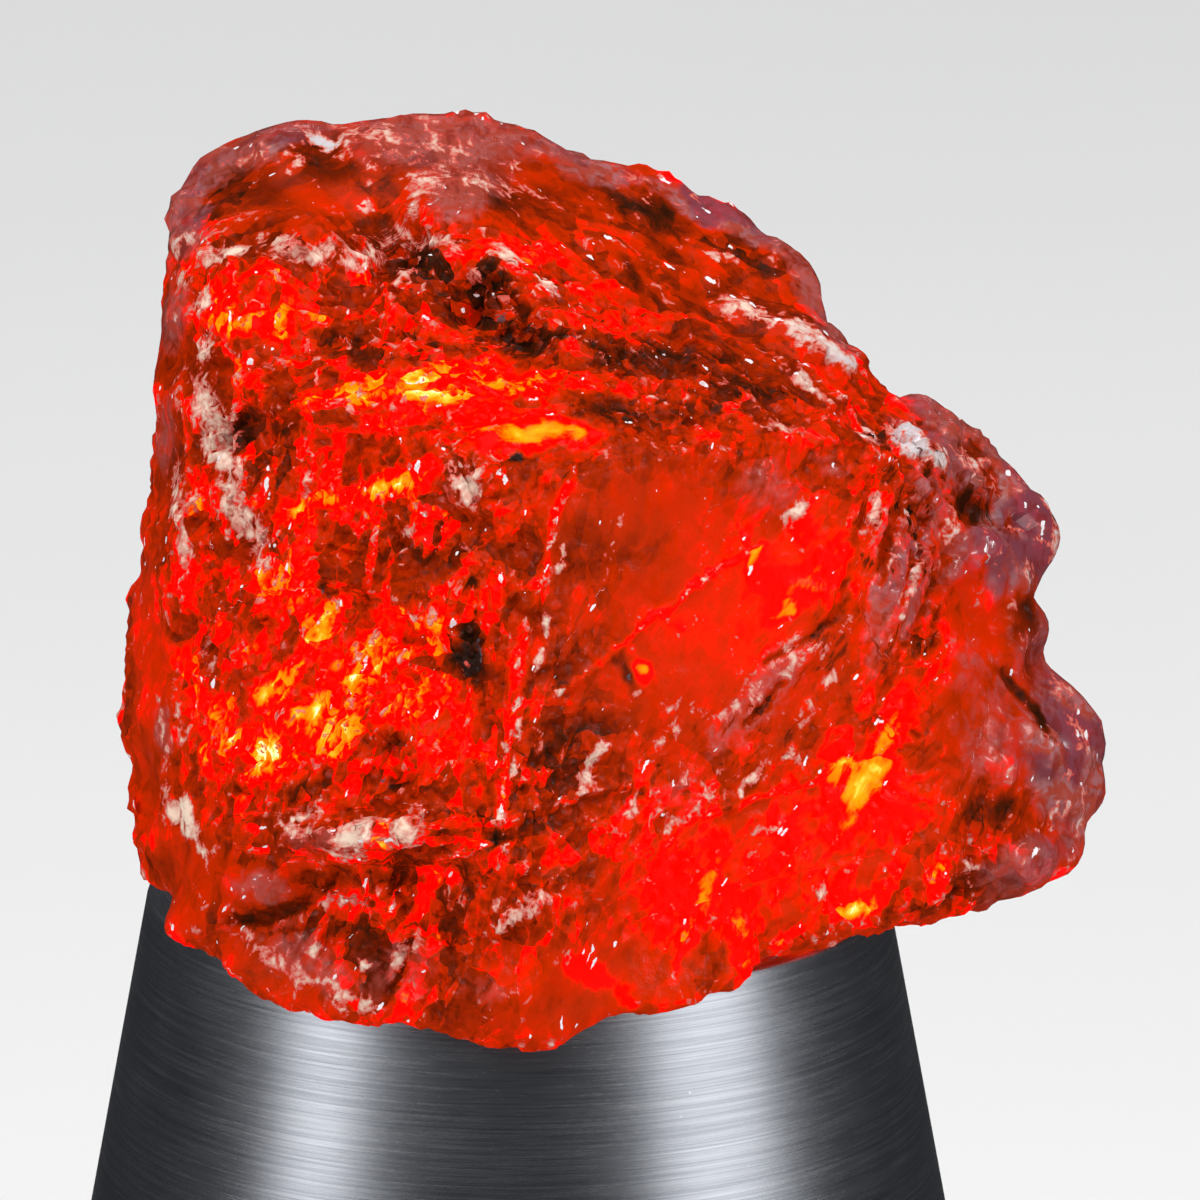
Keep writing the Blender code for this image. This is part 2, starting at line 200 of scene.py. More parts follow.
# Pale patches: partly bruises of the stone, partly painted highlights where ridges and flakes catch the
# light.
FROSTS_AND_HIGHLIGHTS = (
    (-5.9, 12.7, 0.6, 0.2, 15, 1.2),
    (-6.8, 12.9, 0.5, 0.2, 20, 0.8),
    (-3.2, 15.2, 0.7, 0.14, -15, 0.9),
    (-1.5, 14.9, 0.5, 0.2, 10, 0.7),
    (-0.3, 14.5, 0.4, 0.2, 0, 0.6),
    (-2.15, 13.5, 0.9, 0.13, 85, 0.95),
    (-6.65, 12.2, 0.28, 0.15, 50, 1.0),
    (-6.4, 11.7, 0.32, 0.15, 50, 1.1),
    (-6.25, 10.8, 0.34, 0.15, 75, 1.1),
    (-5.96, 8.9, 1.3, 0.4, 109, 1.2),
    (-5.5, 7.25, 0.95, 0.38, 125, 1.1),
    (-5.05, 6.4, 0.5, 0.2, 120, 0.8),
    (-6.8, 7.3, 1.1, 0.22, 95, 0.85),
    (-6.9, 9.6, 0.7, 0.1, 95, 0.6),
    (-4.4, 12.75, 1.0, 0.24, -6, 1.05),
    (-2.1, 12.9, 0.9, 0.16, 0, 1.05),
    (-3.2, 12.5, 0.5, 0.2, 0, 0.9),
    (-0.1, 12.6, 0.32, 0.15, -35, 0.9),
    (0.6, 12.0, 0.35, 0.15, -35, 0.8),
    (-1.0, 8.0, 0.62, 0.26, 100, 1.0),
    (-4.1, 8.0, 0.32, 0.1, 90, 0.9),
    (-2.35, 7.1, 0.22, 0.1, 0, 0.8),
    (-3.2, 0.95, 0.55, 0.32, 35, 1.25),
    (-2.1, 1.15, 0.42, 0.3, 60, 0.9),
    (-4.3, 1.2, 0.5, 0.3, 0, 0.75),
    (-6.2, 4.5, 0.42, 0.14, 90, 0.8),
    (-6.7, 3.2, 0.5, 0.12, 90, 0.6),
    (-6.75, 1.35, 0.45, 0.2, 120, 1.5),
    (-6.9, 5.6, 0.5, 0.16, 90, 0.5),
    (-3.4, -0.4, 0.4, 0.14, -20, 0.7),
    (-3.4, -2.2, 0.6, 0.2, -30, 0.8),
    (-2.2, -1.4, 0.5, 0.16, 60, 0.75),
    (10.9, 1.2, 0.8, 0.14, 35, 0.8),
    (-6.3, 0.6, 0.45, 0.1, 112, 0.9),
    (-7.1, 3.0, 0.6, 0.14, 95, 0.6),
    (5.65, 4.55, 0.6, 0.4, 40, 0.65),
    (4.7, 3.8, 0.9, 0.35, 60, 0.5),
    (3.6, 3.3, 1.0, 0.25, 30, 0.45),
    (3.0, 2.9, 0.8, 0.25, 60, 0.48),
    (-3.9, 14.95, 0.5, 0.16, -8, 1.4),
    (1.6, 2.4, 0.55, 0.17, 62, 1.5),
    (4.75, 2.1, 0.5, 0.12, 55, 1.15),
    (6.6, 5.3, 0.7, 0.12, 60, 0.7),
    (7.2, 7.3, 0.9, 0.12, 72, 0.75),
    (7.7, 6.9, 1.1, 0.12, 72, 0.65),
    (8.0, 6.0, 1.0, 0.12, 70, 0.65),
    (8.7, 7.1, 0.8, 0.12, 75, 0.7),
    (5.5, 2.5, 0.22, 0.14, 0, 0.9),
    (3.6, 1.8, 0.9, 0.4, 20, 0.45),
    (2.4, 1.6, 0.42, 0.1, 75, 1.25),
    (0.85, 3.75, 0.2, 0.09, 30, 1.3),
    (3.1, 1.3, 0.2, 0.16, 0, 0.9),
    (0.62, 5.2, 0.32, 0.09, 80, 1.2),
    (0.45, 4.4, 0.24, 0.07, 70, 1.1),
    (0.15, 3.3, 0.24, 0.08, 80, 1.05),
    (-0.05, 2.3, 0.3, 0.08, 85, 1.0),
    (0.8, 6.4, 0.4, 0.08, 72, 1.0),
    (-4.0, -1.3, 0.25, 0.12, 20, 1.1),
    (-3.0, -1.7, 0.22, 0.1, 70, 1.05),
    (-3.6, -2.0, 0.3, 0.1, -30, 1.1),
    (0.3, -0.4, 1.0, 0.22, 40, 0.85),
    (-0.3, -0.3, 0.3, 0.25, 0, 0.7),
    (6.1, 3.6, 0.9, 0.2, 55, 0.45),
    (5.6, 7.5, 0.5, 0.2, 45, 0.8),
    (5.3, 9.1, 0.36, 0.15, -10, 1.0),
    (4.2, 8.7, 0.2, 0.1, 0, 0.9),
    (7.0, 9.1, 0.5, 0.12, -50, 0.9),
    (8.2, 8.75, 0.62, 0.24, -38, 1.7),
    (6.1, 10.9, 0.95, 0.22, -38, 1.25),
    (4.7, 11.5, 0.6, 0.16, -25, 1.05),
    (6.0, 9.9, 0.7, 0.14, -30, 0.9),
    (4.2, 12.6, 0.3, 0.1, -10, 0.9),
    (1.4, 10.9, 0.25, 0.1, 0, 0.7),
    (6.2, -0.2, 0.14, 0.14, 0, 0.9),
    (5.0, 1.0, 0.5, 0.12, 20, 0.7),
    (9.1, 0.2, 0.7, 0.12, 90, 0.7),
    (-2.9, 14.4, 1.0, 0.12, 75, 0.7),
    (-1.4, 14.3, 1.0, 0.4, -10, 0.6),
    (-5.7, 14.6, 0.9, 0.16, 30, 0.6),
    (0.7, 13.8, 1.4, 0.14, -18, 0.55),
    (-4.6, -1.6, 1.1, 0.2, -35, 0.75),
    (-5.6, -0.7, 0.5, 0.12, -50, 0.6),
    (10.5, 6.2, 0.5, 0.16, -50, 0.6),
    (9.6, 8.1, 0.6, 0.14, -35, 0.6),
    (11.3, 3.2, 0.6, 0.14, -60, 0.5),
    (10.7, 7.9, 0.55, 0.16, -60, 0.95),
    (10.0, 7.2, 0.26, 0.16, 0, 0.9),
    (11.0, 6.9, 0.18, 0.35, 0, 0.8),
    (9.3, 8.6, 0.45, 0.14, -30, 0.9),
    (11.5, 1.0, 0.4, 0.12, 60, 0.7),
)
MAUVES = (
    (-1.6, 15.0, 2.1, 0.7, -2, 1.1),
    (-3.9, 15.1, 1.0, 0.35, 5, 0.9),
    (-0.9, 13.9, 0.9, 0.7, 0, 0.95),
    (1.3, 14.6, 1.2, 0.4, -28, 1.0),
    (4.2, 13.45, 1.8, 0.38, -24, 1.05),
    (6.2, 11.8, 1.5, 0.45, -58, 0.9),
    (-5.7, 14.6, 1.5, 0.45, 35, 1.05),
    (-6.7, 13.4, 0.9, 0.55, 75, 1.05),
    (-6.9, 14.2, 1.3, 0.6, 50, 1.3),
    (-6.9, 11.4, 0.9, 0.3, 80, 0.7),
    (7.9, 6.4, 2.3, 0.75, 72, 0.75),
    (4.8, 3.6, 1.9, 0.5, 48, 0.65),
    (9.0, 8.4, 1.5, 0.6, -35, 0.9),
    (9.0, 6.6, 1.0, 0.6, 80, 0.6),
    (10.3, 7.2, 1.1, 1.5, 0, 1.2),
    (10.6, 4.9, 0.5, 0.9, 0, 0.8),
    (11.2, 2.5, 0.95, 2.0, 8, 1.1),
    (9.6, 2.9, 0.8, 1.5, 0, 0.6),
    (10.0, 0.2, 1.1, 0.6, 25, 0.9),
    (-5.05, -0.15, 0.85, 0.42, -12, 0.7),
    (-4.2, -1.5, 1.6, 0.6, -30, 0.75),
    (-2.4, -1.6, 1.0, 0.7, -10, 0.7),
    (-0.7, -2.1, 0.6, 0.4, 0, 0.55),
    (-7.15, 2.9, 0.6, 0.25, 95, 0.8),
    (-7.1, 8.9, 0.9, 0.2, 92, 0.7),
    (-2.0, 0.4, 0.6, 0.3, 0, 0.5),
    (4.95, 7.95, 0.72, 0.62, 0, 0.7),
    (6.3, 8.3, 0.65, 0.25, 0, 0.5),
    (3.6, 1.9, 0.9, 0.5, 15, 0.45),
    (-3.4, 0.9, 1.4, 0.4, 5, 0.5),
    (-1.3, 8.0, 0.7, 0.5, 90, 0.35),
    (9.3, 4.5, 1.4, 0.8, 85, 0.52),
    (8.7, 9.4, 1.1, 0.45, -35, 1.1),
    (10.0, 8.6, 0.8, 0.45, -45, 1.1),
)
COOLS = (
    (10.4, 7.2, 1.4, 1.7, 0, 1.0),
    (11.2, 2.4, 1.1, 2.4, 8, 1.0),
    (3.0, 14.2, 2.4, 0.7, -27, 1.0),
    (-6.4, 13.8, 0.8, 0.5, 60, 0.8),
    (8.0, 7.0, 1.4, 0.6, 75, 0.5),
    (7.3, 9.6, 1.9, 0.6, -42, 1.0),
    (-4.2, 14.9, 0.9, 0.3, -8, 1.0),
)
SHADES = (
    (-0.05, 8.52, 0.16, 0.1, 0, 2.2),
    (-1.6, 12.3, 1.0, 0.45, -14, 1.0),
    (-0.6, 12.0, 0.5, 0.5, -14, 1.15),
    (-0.2, 11.1, 1.3, 0.42, -25, 1.0),
    (1.2, 10.9, 0.6, 0.25, -20, 0.9),
    (-4.6, 14.1, 1.9, 0.85, 15, 0.72),
    (-2.9, 13.1, 1.3, 0.3, 5, 0.5),
    (-0.6, 13.6, 0.6, 0.5, 0, 0.7),
    (-1.9, 11.0, 0.7, 0.3, -50, 0.7),
    (-3.1, 10.6, 0.9, 0.3, -20, 0.55),
    (-2.4, 10.3, 0.4, 0.2, 40, 0.8),
    (-5.3, 9.05, 0.55, 0.36, 0, 1.0),
    (-4.9, 8.1, 0.4, 0.7, 0, 0.6),
    (-0.85, 4.6, 0.55, 0.33, 100, 1.6),
    (-0.9, 6.0, 0.28, 0.18, 0, 1.0),
    (-3.9, 5.8, 0.2, 0.12, 90, 1.2),
    (-1.4, 6.6, 1.1, 0.28, 0, 0.6),
    (-2.7, 2.05, 0.6, 0.15, -4, 1.1),
    (-2.4, 2.7, 0.45, 0.22, 80, 0.9),
    (-3.9, 1.9, 0.8, 0.2, 0, 0.7),
    (-0.45, 1.2, 0.9, 0.14, 90, 1.0),
    (-1.2, 1.1, 0.6, 0.3, 0, 0.7),
    (-2.6, 0.2, 1.7, 0.26, 3, 0.65),
    (-1.3, -0.4, 0.7, 0.4, 80, 0.5),
    (1.7, 6.5, 1.2, 0.8, -15, 0.62),
    (1.0, 4.4, 1.1, 0.55, 20, 0.68),
    (1.0, 2.6, 1.1, 0.6, 30, 0.68),
    (0.4, 1.2, 0.5, 1.2, 0, 0.65),
    (-3.6, -1.1, 2.3, 0.8, -20, 0.45),
    (-5.6, 0.5, 1.0, 0.5, -30, 0.4),
    (2.6, 3.4, 1.0, 0.35, 35, 0.4),
    (2.6, 9.4, 1.5, 0.25, 3, 0.9),
    (4.4, 9.9, 1.2, 0.22, -5, 0.7),
    (2.2, 10.4, 1.4, 0.3, -15, 0.7),
    (0.35, 13.9, 0.7, 0.3, 0, 0.7),
    (2.4, 13.7, 1.2, 0.28, -25, 0.95),
    (4.4, 12.8, 1.4, 0.24, -28, 0.85),
    (2.2, 12.4, 0.45, 0.14, -60, 1.1),
    (2.9, 10.6, 1.7, 0.18, -3, 0.9),
    (2.25, 4.2, 0.5, 0.15, -60, 1.3),
    (0.6, 0.3, 0.6, 0.25, 0, 0.7),
    (-4.2, 13.2, 1.4, 0.3, 0, 0.45),
    (7.3, 9.0, 0.4, 0.3, -50, 0.9),
    (9.3, 7.5, 0.35, 0.35, 0, 0.85),
    (10.3, 5.3, 0.4, 0.6, 0, 1.3),
    (10.5, 3.4, 0.9, 0.12, -50, 1.1),
    (9.6, 1.4, 0.5, 0.3, 20, 0.9),
    (3.6, 12.2, 3.2, 1.2, -32, 0.35),
    (8.3, 4.7, 0.3, 0.3, 0, 0.8),
    (-5.2, -0.75, 1.2, 0.1, 10, 0.6),
    (-1.3, -1.3, 0.8, 0.2, 90, 0.5),
    (2.4, 0.6, 0.3, 0.8, 0, 0.35),
    (8.6, -0.3, 0.9, 0.25, 20, 0.5),
    (8.9, 9.2, 1.2, 0.4, -35, 0.45),
)

# Where dark slits and pale streaks run along the grain, in the same form.
STREAKS = (
    (7.6, 6.4, 2.2, 0.8, 72, 1.6),
    (5.4, 3.9, 2.6, 0.8, 52, 0.8),
    (3.4, 2.2, 1.7, 0.8, 45, 0.8),
    (8.4, 4.8, 1.0, 0.4, 75, 0.6),
    (9.3, 7.0, 1.4, 0.9, 80, 0.6),
    (-0.6, 0.6, 0.5, 1.6, 0, 0.6),
)

# The way the grain runs: x, up, half length, half width and turn of a patch, and the grain's angle there.
GRAINS = (
    (-4.0, 3.5, 2.6, 2.0, 0, 68),
    (-7.2, 6.0, 8.0, 0.9, 90, 93),
    (-1.5, 9.9, 3.4, 0.8, 0, 6),
    (-3.0, 1.0, 2.5, 0.5, 0, 5),
    (5.0, 3.4, 4.2, 3.4, 45, 55),
    (7.9, 6.0, 2.4, 1.3, 75, 68),
    (3.8, 12.0, 4.4, 1.6, -32, -34),
    (5.5, -0.8, 3.6, 1.0, 15, 72),
    (-3.5, -1.5, 3.0, 1.0, -20, 60),
    (0.6, 9.0, 1.8, 0.6, 0, 4),
    (-0.7, 11.9, 1.8, 0.9, -14, -20),
    (-4.5, 14.0, 2.6, 1.1, 10, 30),
)
USUAL_GRAIN = 80

# Rounded knobs: x, up, half length, half width, turn, strength.
KNOBS = (
    (10.3, 6.8, 1.3, 1.8, 0, 1.0),
    (11.2, 2.4, 1.2, 2.6, 8, 1.0),
    (9.8, 0.0, 1.4, 0.7, 20, 0.8),
    (6.4, 12.0, 2.2, 0.5, -52, 0.6),
    (8.9, 8.9, 1.3, 0.7, -35, 0.9),
    (-5.8, 14.2, 1.2, 0.5, 40, 0.5),
)

# How smooth the broken surface is in places, in the same form.
SMOOTHS = (
    (4.2, 5.2, 3.6, 3.4, 10, 1.0),
    (9.2, 4.4, 2.8, 0.9, 85, 1.0),
    (-7.2, 9.5, 2.6, 0.5, 92, 0.7),
    (0.5, -3.0, 3.5, 0.6, 0, 0.7),
    (6.5, -1.4, 2.5, 0.5, 20, 0.7),
    (-4.8, -1.8, 1.8, 0.7, -35, 0.85),
    (-6.8, -0.6, 0.9, 0.7, -50, 0.95),
    (5.4, 0.8, 4.2, 1.8, 12, 0.75),
    (2.6, 7.4, 2.4, 1.4, 0, 1.0),
    (-1.0, 14.4, 5.6, 1.1, -8, 0.85),
    (-4.4, 13.9, 1.8, 0.9, 0, 0.9),
    (3.6, 11.9, 3.4, 1.4, -32, 0.6),
    (-7.4, 3.4, 3.6, 0.6, 92, 0.9),
    (1.5, -2.2, 2.8, 1.2, 10, 0.95),
    (10.4, 4.2, 1.6, 4.8, 10, 0.95),
    (0.5, 8.95, 1.2, 0.5, 3, 0.9),
    (-5.05, -0.15, 1.0, 0.5, -12, 0.9),
    (-6.3, 0.2, 1.3, 0.8, -40, 0.9),
    (-3.9, 0.2, 0.8, 0.35, 0, 0.7),
)

# Lumps and hollows: x, up, half length, half width, turn in degrees, height in millimetres.
LUMPS = (
    (-0.8, 8.1, 0.72, 0.55, 82, 0.3),
    (-3.0, 1.05, 1.7, 0.32, 5, 0.35),
    (-2.7, 0.15, 1.8, 0.3, 3, -0.3),
    (-5.05, -0.1, 0.85, 0.45, -12, 0.22),
    (8.16, 8.7, 0.6, 0.28, -40, 0.3),
    (9.35, 7.5, 0.4, 0.34, 0, -0.3),
    (10.3, 5.4, 0.6, 0.9, 0, 0.25),
    (10.5, 7.6, 1.6, 1.0, -75, 0.3),
    (11.3, 3.2, 1.6, 0.9, 85, 0.32),
    (10.6, 0.2, 0.8, 0.6, 30, 0.25),
    (-7.6, 8.6, 1.2, 0.7, 90, -0.28),
    (-7.9, 1.7, 0.9, 0.6, 90, -0.3),
    (-6.1, 14.6, 0.9, 0.6, 45, -0.2),
    (3.5, 13.9, 1.3, 0.6, -25, -0.35),
    (6.4, -1.5, 1.2, 0.5, 20, -0.2),
    (-5.3, 9.05, 0.6, 0.42, 0, -0.35),
    (-0.57, 12.0, 0.7, 0.6, 0, 0.35),
    (-0.2, 11.1, 1.0, 0.4, -25, -0.25),
    (4.95, 7.95, 0.72, 0.62, 0, 0.1),
    (-2.7, 2.1, 0.6, 0.18, -4, -0.25),
    (-2.4, 2.7, 0.4, 0.2, 80, -0.2),
    (0.6, 8.95, 1.1, 0.35, 3, 0.12),
    (-5.0, 3.4, 1.3, 0.7, 55, 0.15),
    (-3.3, 4.4, 1.1, 0.5, 20, 0.15),
    (-1.7, 5.6, 0.8, 0.5, -10, 0.12),
    (6.1, 10.9, 1.0, 0.25, -38, 0.15),
    (4.7, 11.5, 0.7, 0.22, -25, 0.12),
    (5.65, 4.55, 0.5, 0.34, 40, 0.1),
    (0.3, -0.4, 1.0, 0.3, 40, 0.15),
    (-3.95, 15.5, 0.35, 1.0, 0, -0.3),
    (-5.2, 15.3, 0.7, 1.0, 0, 0.15),
)

# Thin lines on the stone: half width, height above the surface, and the points x, up that they run through.
# Raised lines get a brighter painted glow and painted highlights; slits are painted darker.
SEAMS = (
    (0.06, 0.06, ((0.57, 3.62), (1.69, 4.33), (2.67, 5.27), (4.25, 6.37), (4.88, 6.65))),
    (0.06, 0.06, ((3.8, 1.35), (4.2, 1.5), (5.05, 1.75), (6.1, 2.2), (6.75, 2.5))),
    (0.08, 0.11, ((1.2, 8.4), (0.8, 7.2), (0.6, 6.4), (0.3, 5.4), (0.06, 4.4), (-0.2, 2.6), (-0.35, 0.4))),
    (0.12, -0.22, ((-5.7, -0.8), (-5.0, -0.7), (-4.2, -0.4), (-3.7, -0.1))),
    (0.09, -0.16, ((-2.4, 0.1), (-2.1, -0.9), (-2.2, -1.7), (-2.6, -2.3))),
    (0.08, -0.10, ((6.96, 7.35), (6.7, 6.4), (6.5, 5.4), (5.9, 4.9), (5.0, 4.4))),
    (0.08, -0.10, ((8.6, 6.4), (8.2, 5.4), (7.4, 3.9), (7.1, 3.0))),
    (0.10, -0.10, ((7.9, 8.0), (7.5, 6.9), (7.3, 6.0))),
    (0.09, -0.16, ((9.9, 4.2), (10.4, 3.55), (10.8, 3.0), (11.1, 2.3))),
    (0.08, -0.12, ((9.6, 8.2), (9.9, 7.4), (10.5, 6.8))),
    (0.07, -0.12, ((7.1, 8.1), (6.95, 7.2))),
    (0.07, -0.12, ((7.6, 7.5), (7.35, 6.4))),
    (0.06, -0.12, ((8.0, 6.6), (7.8, 5.6))),
    (0.07, -0.12, ((8.3, 7.8), (8.1, 6.9))),
    (0.08, -0.14, ((8.55, 5.4), (8.35, 4.8))),
    (0.06, -0.10, ((6.6, 6.0), (6.3, 5.2))),
    (0.06, -0.10, ((5.3, 4.0), (4.7, 3.2))),
    (0.10, 0.10, ((-3.0, 12.1), (-3.1, 13.1), (-2.9, 14.4), (-3.6, 15.2))),
)

# The layers of patches that the paint reads.
PATCHES = {
    "glow": GLOWS,
    "red": REDS,
    "frost": FROSTS_AND_HIGHLIGHTS,
    "mauve": MAUVES,
    "cool": COOLS,
    "shade": SHADES,
    "streak": STREAKS,
    "smooth": SMOOTHS,
}

# The stone's colour from the painted shade of its dark hollows to its brightest painted glow, for both its
# base colour and its emission.
SHADE_TO_GLOW = (
    (0.0, (0.010, 0.004, 0.002)),
    (0.12, (0.045, 0.008, 0.002)),
    (0.22, (0.16, 0.011, 0.001)),
    (0.32, (0.36, 0.018, 0.0)),
    (0.36, (0.47, 0.020, 0.0)),
    (0.44, (0.64, 0.019, 0.0)),
    (0.49, (0.85, 0.013, 0.0)),
    (0.53, (1.0, 0.001, 0.0)),
    (0.69, (1.0, 0.001, 0.0)),
    (0.73, (1.0, 0.035, 0.0)),
    (0.77, (1.0, 0.13, 0.0)),
    (0.88, (1.0, 0.27, 0.003)),
    (0.95, (1.0, 0.50, 0.05)),
    (1.0, (1.0, 0.85, 0.40)),
)

# A Mix node's colour sockets share their names with others, so they are found by their places.
MIX_COLOURS = (6, 7)
MIX_RESULT = 2
BLACK = (0.0, 0.0, 0.0)


def crystal_directions():
    """The twelve directions in which sphalerite cleaves, turned as the crystal lies."""
    flat = [(a, b, 0) for a in (1, -1) for b in (1, -1)]
    every = flat + [(a, 0, b) for a, b, _ in flat] + [(0, a, b) for a, b, _ in flat]
    turn = Matrix.Rotation(CRYSTAL_TURN, 3, "Z") @ Matrix.Rotation(CRYSTAL_LEAN, 3, "X")
    return np.array([(turn @ Vector(one)).normalized() for one in every])


def from_view(x, up, back):
    """A place seen from the front, in metres, in the part's own frame."""
    along_y = back * math.cos(VIEW_TILT) + up * math.sin(VIEW_TILT)
    along_z = up * math.cos(VIEW_TILT) - back * math.sin(VIEW_TILT)
    return Vector((x * MM, along_y * MM, STAND_TOP + along_z * MM))


def to_view(points):
    """x, up and back, in millimetres, of an array of points in metres."""
    x, y, z = points[:, 0] / MM, points[:, 1] / MM, (points[:, 2] - STAND_TOP) / MM
    up = y * math.sin(VIEW_TILT) + z * math.cos(VIEW_TILT)
    back = y * math.cos(VIEW_TILT) - z * math.sin(VIEW_TILT)
    return x, up, back


def ease(values, low, high):
    """0 below low, 1 above high, and smooth between them."""
    share = np.clip((values - low) / (high - low), 0, 1)
    return share * share * (3 - 2 * share)


def ragged(seen):
    """The points seen, pushed about a little, so that what is painted there gets ragged edges."""
    x, up, back = seen
    noise.seed_set(SEEDS["ragged"])
    pushed = np.zeros((len(x), 2))
    for scale, reach in RAGGED:
        for index, place in enumerate(zip(x * scale, up * scale, back * scale)):
            push = noise.noise_vector(place)
            pushed[index] += reach * push.x, reach * push.z
    return x + pushed[:, 0], up + pushed[:, 1], back


def from_middle(seen, spot_x, spot_up, long, wide, turn):
    """How far each point lies from a patch's middle, squared, with 1 at the patch's rim."""
    x, up, _ = seen
    angle = math.radians(turn)
    along = ((x - spot_x) * math.cos(angle) + (up - spot_up) * math.sin(angle)) / long
    across = ((up - spot_up) * math.cos(angle) - (x - spot_x) * math.sin(angle)) / wide
    return along**2 + across**2


def patches(seen, spots):
    """The strongest of the patches at each point seen."""
    found = np.zeros(len(seen[0]))
    for *spot, strength in spots:
        found = np.maximum(found, strength * np.exp(-PATCH_FADE * from_middle(seen, *spot) ** PATCH_EDGE))
    return found


def lump_height(seen):
    """How far the lumps stand above the surface, in millimetres."""
    height = np.zeros(len(seen[0]))
    for *spot, rise in LUMPS:
        height += rise * np.exp(-(from_middle(seen, *spot) ** 2))
    return height


def seams(seen):
    """How high the thin lines stand above the surface, in millimetres, and where they run: up to 1 along a
    raised line and down to -1 along a slit."""
    x, up, _ = seen
    height = np.zeros(len(x))
    line = np.zeros(len(x))
    for half_width, rise, route in SEAMS:
        nearest = np.full(len(x), np.inf)
        for start, end in zip(route, route[1:]):
            run_x, run_up = end[0] - start[0], end[1] - start[1]
            from_x, from_up = x - start[0], up - start[1]
            share = np.clip((from_x * run_x + from_up * run_up) / (run_x**2 + run_up**2), 0, 1)
            nearest = np.minimum(nearest, np.hypot(from_x - share * run_x, from_up - share * run_up))
        nearness = np.exp(-((nearest / half_width) ** 2))
        height += rise * nearness
        line += np.sign(rise) * nearness
    return height, line


def along_grain(seen):
    """Coordinates that are squeezed across the grain, for what is streaked along it."""
    x, up, back = seen
    turn = np.full(len(x), float(USUAL_GRAIN))
    most = np.full(len(x), LEAST_GRAIN)
    for spot in GRAINS:
        share = patches(seen, ((*spot[:5], 1.0),))
        turn = np.where(share > most, spot[5], turn)
        most = np.maximum(share, most)
    turn = np.radians(turn)
    along = x * np.cos(turn) + up * np.sin(turn)
    across = up * np.cos(turn) - x * np.sin(turn)
    return np.stack((along, across, back), axis=1) * GRAIN_SQUEEZE


def coordinates(mesh):
    places = np.empty(len(mesh.vertices) * 3, np.float32)
    mesh.vertices.foreach_get("co", places)
    return places.reshape(-1, 3).astype(float)


def place_vertices(mesh, places):
    mesh.vertices.foreach_set("co", places.astype(np.float32).ravel())
    mesh.update()


def normals(mesh):
    found = np.empty(len(mesh.vertices) * 3, np.float32)
    mesh.vertex_normals.foreach_get("vector", found)
    return found.reshape(-1, 3).astype(float)


def blurred(mesh, values, rounds):
    """Values on the mesh's vertices, each averaged with its neighbours a number of times."""
    ends = np.empty(len(mesh.edges) * 2, np.int32)
    mesh.edges.foreach_get("vertices", ends)
    one, other = ends.reshape(-1, 2).T
    count = np.bincount(ends, minlength=len(values)).astype(float)
    values = values.reshape(len(values), -1).copy()
    for _ in range(rounds):
        for column in range(values.shape[1]):
            old = values[:, column]
            total = np.bincount(one, old[other], len(old)) + np.bincount(other, old[one], len(old))
            values[:, column] = (old + total / count) / 2
    return values if values.shape[1] > 1 else values[:, 0]


def add_layer(mesh, name, values):
    layer = mesh.attributes.new(name, "FLOAT", "POINT")
    layer.data.foreach_set("value", values.astype(np.float32))


def cloudy(seen, scale, octaves):
    """Cloudy values from about 0 to 1."""
    places = zip(*(axis * scale for axis in seen))
    found = [noise.fractal(place, CLOUD_SMOOTHNESS, CLOUD_STEP, octaves) for place in places]
    return 0.5 + 0.5 * np.array(found)


def finish_piece(piece, node):
    """Puts a piece in the CAD node's stead, on the part's only body."""
    bpy.context.scene.collection.objects.link(piece)
    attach(piece, "root")
    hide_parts(node)


class BrokenCells:
    """Flat cells scattered over a surface, each with its own plane."""

    def __init__(self, places, facing, count, seed):
        self.random = np.random.default_rng(seed)
        chosen = self.random.choice(len(places), count, replace=False)
        self.middles = places[chosen]
        self.facing = facing[chosen]
        self.tree = kdtree.KDTree(count)
        for index, middle in enumerate(self.middles):
            self.tree.insert(middle, index)
        self.tree.balance()
        self.tone = self.random.random(count)

    def nearest(self, places, how_many=1):
        found = [[hit[1] for hit in self.tree.find_n(place, how_many)] for place in places]
        return np.array(found)

    def tilt(self, share):
        """Planes that lean from the surface at random, by about this share of its normal."""
        leaning = self.facing + self.random.normal(0, share, self.facing.shape)
        return leaning / np.linalg.norm(leaning, axis=1, keepdims=True)


def fine_copy(node, shape):
    """The CAD stone's surface on a fine mesh, finer in front."""
    bm = bmesh.new()
    bm.from_mesh(node.data)
    bmesh.ops.remove_doubles(bm, verts=bm.verts, dist=shape.merge)
    solid = BVHTree.FromBMesh(bm)
    bm.free()
    heart = from_view(*HEART)
    bm = bmesh.new()
    bmesh.ops.create_icosphere(bm, subdivisions=shape.fineness, radius=1.0)
    towards = Vector(TOWARDS_VIEWER)
    limit = 2 * shape.front_share
    front = [edge for edge in bm.edges if (edge.verts[0].co + edge.verts[1].co).dot(towards) > limit]
    bmesh.ops.subdivide_edges(bm, edges=front, cuts=1, use_grid_fill=True)
    bmesh.ops.triangulate(bm, faces=bm.faces)
    for vertex in bm.verts:
        vertex.co = solid.ray_cast(heart, vertex.co.normalized())[0]
    bmesh.ops.recalc_face_normals(bm, faces=bm.faces)
    mesh = bpy.data.meshes.new("sphalerite_stone")
    bm.to_mesh(mesh)
    bm.free()
    places = coordinates(mesh)
    smoothed = blurred(mesh, places, shape.smoothing)
    place_vertices(mesh, smoothed + blurred(mesh, places - smoothed, shape.smoothing))
    return mesh


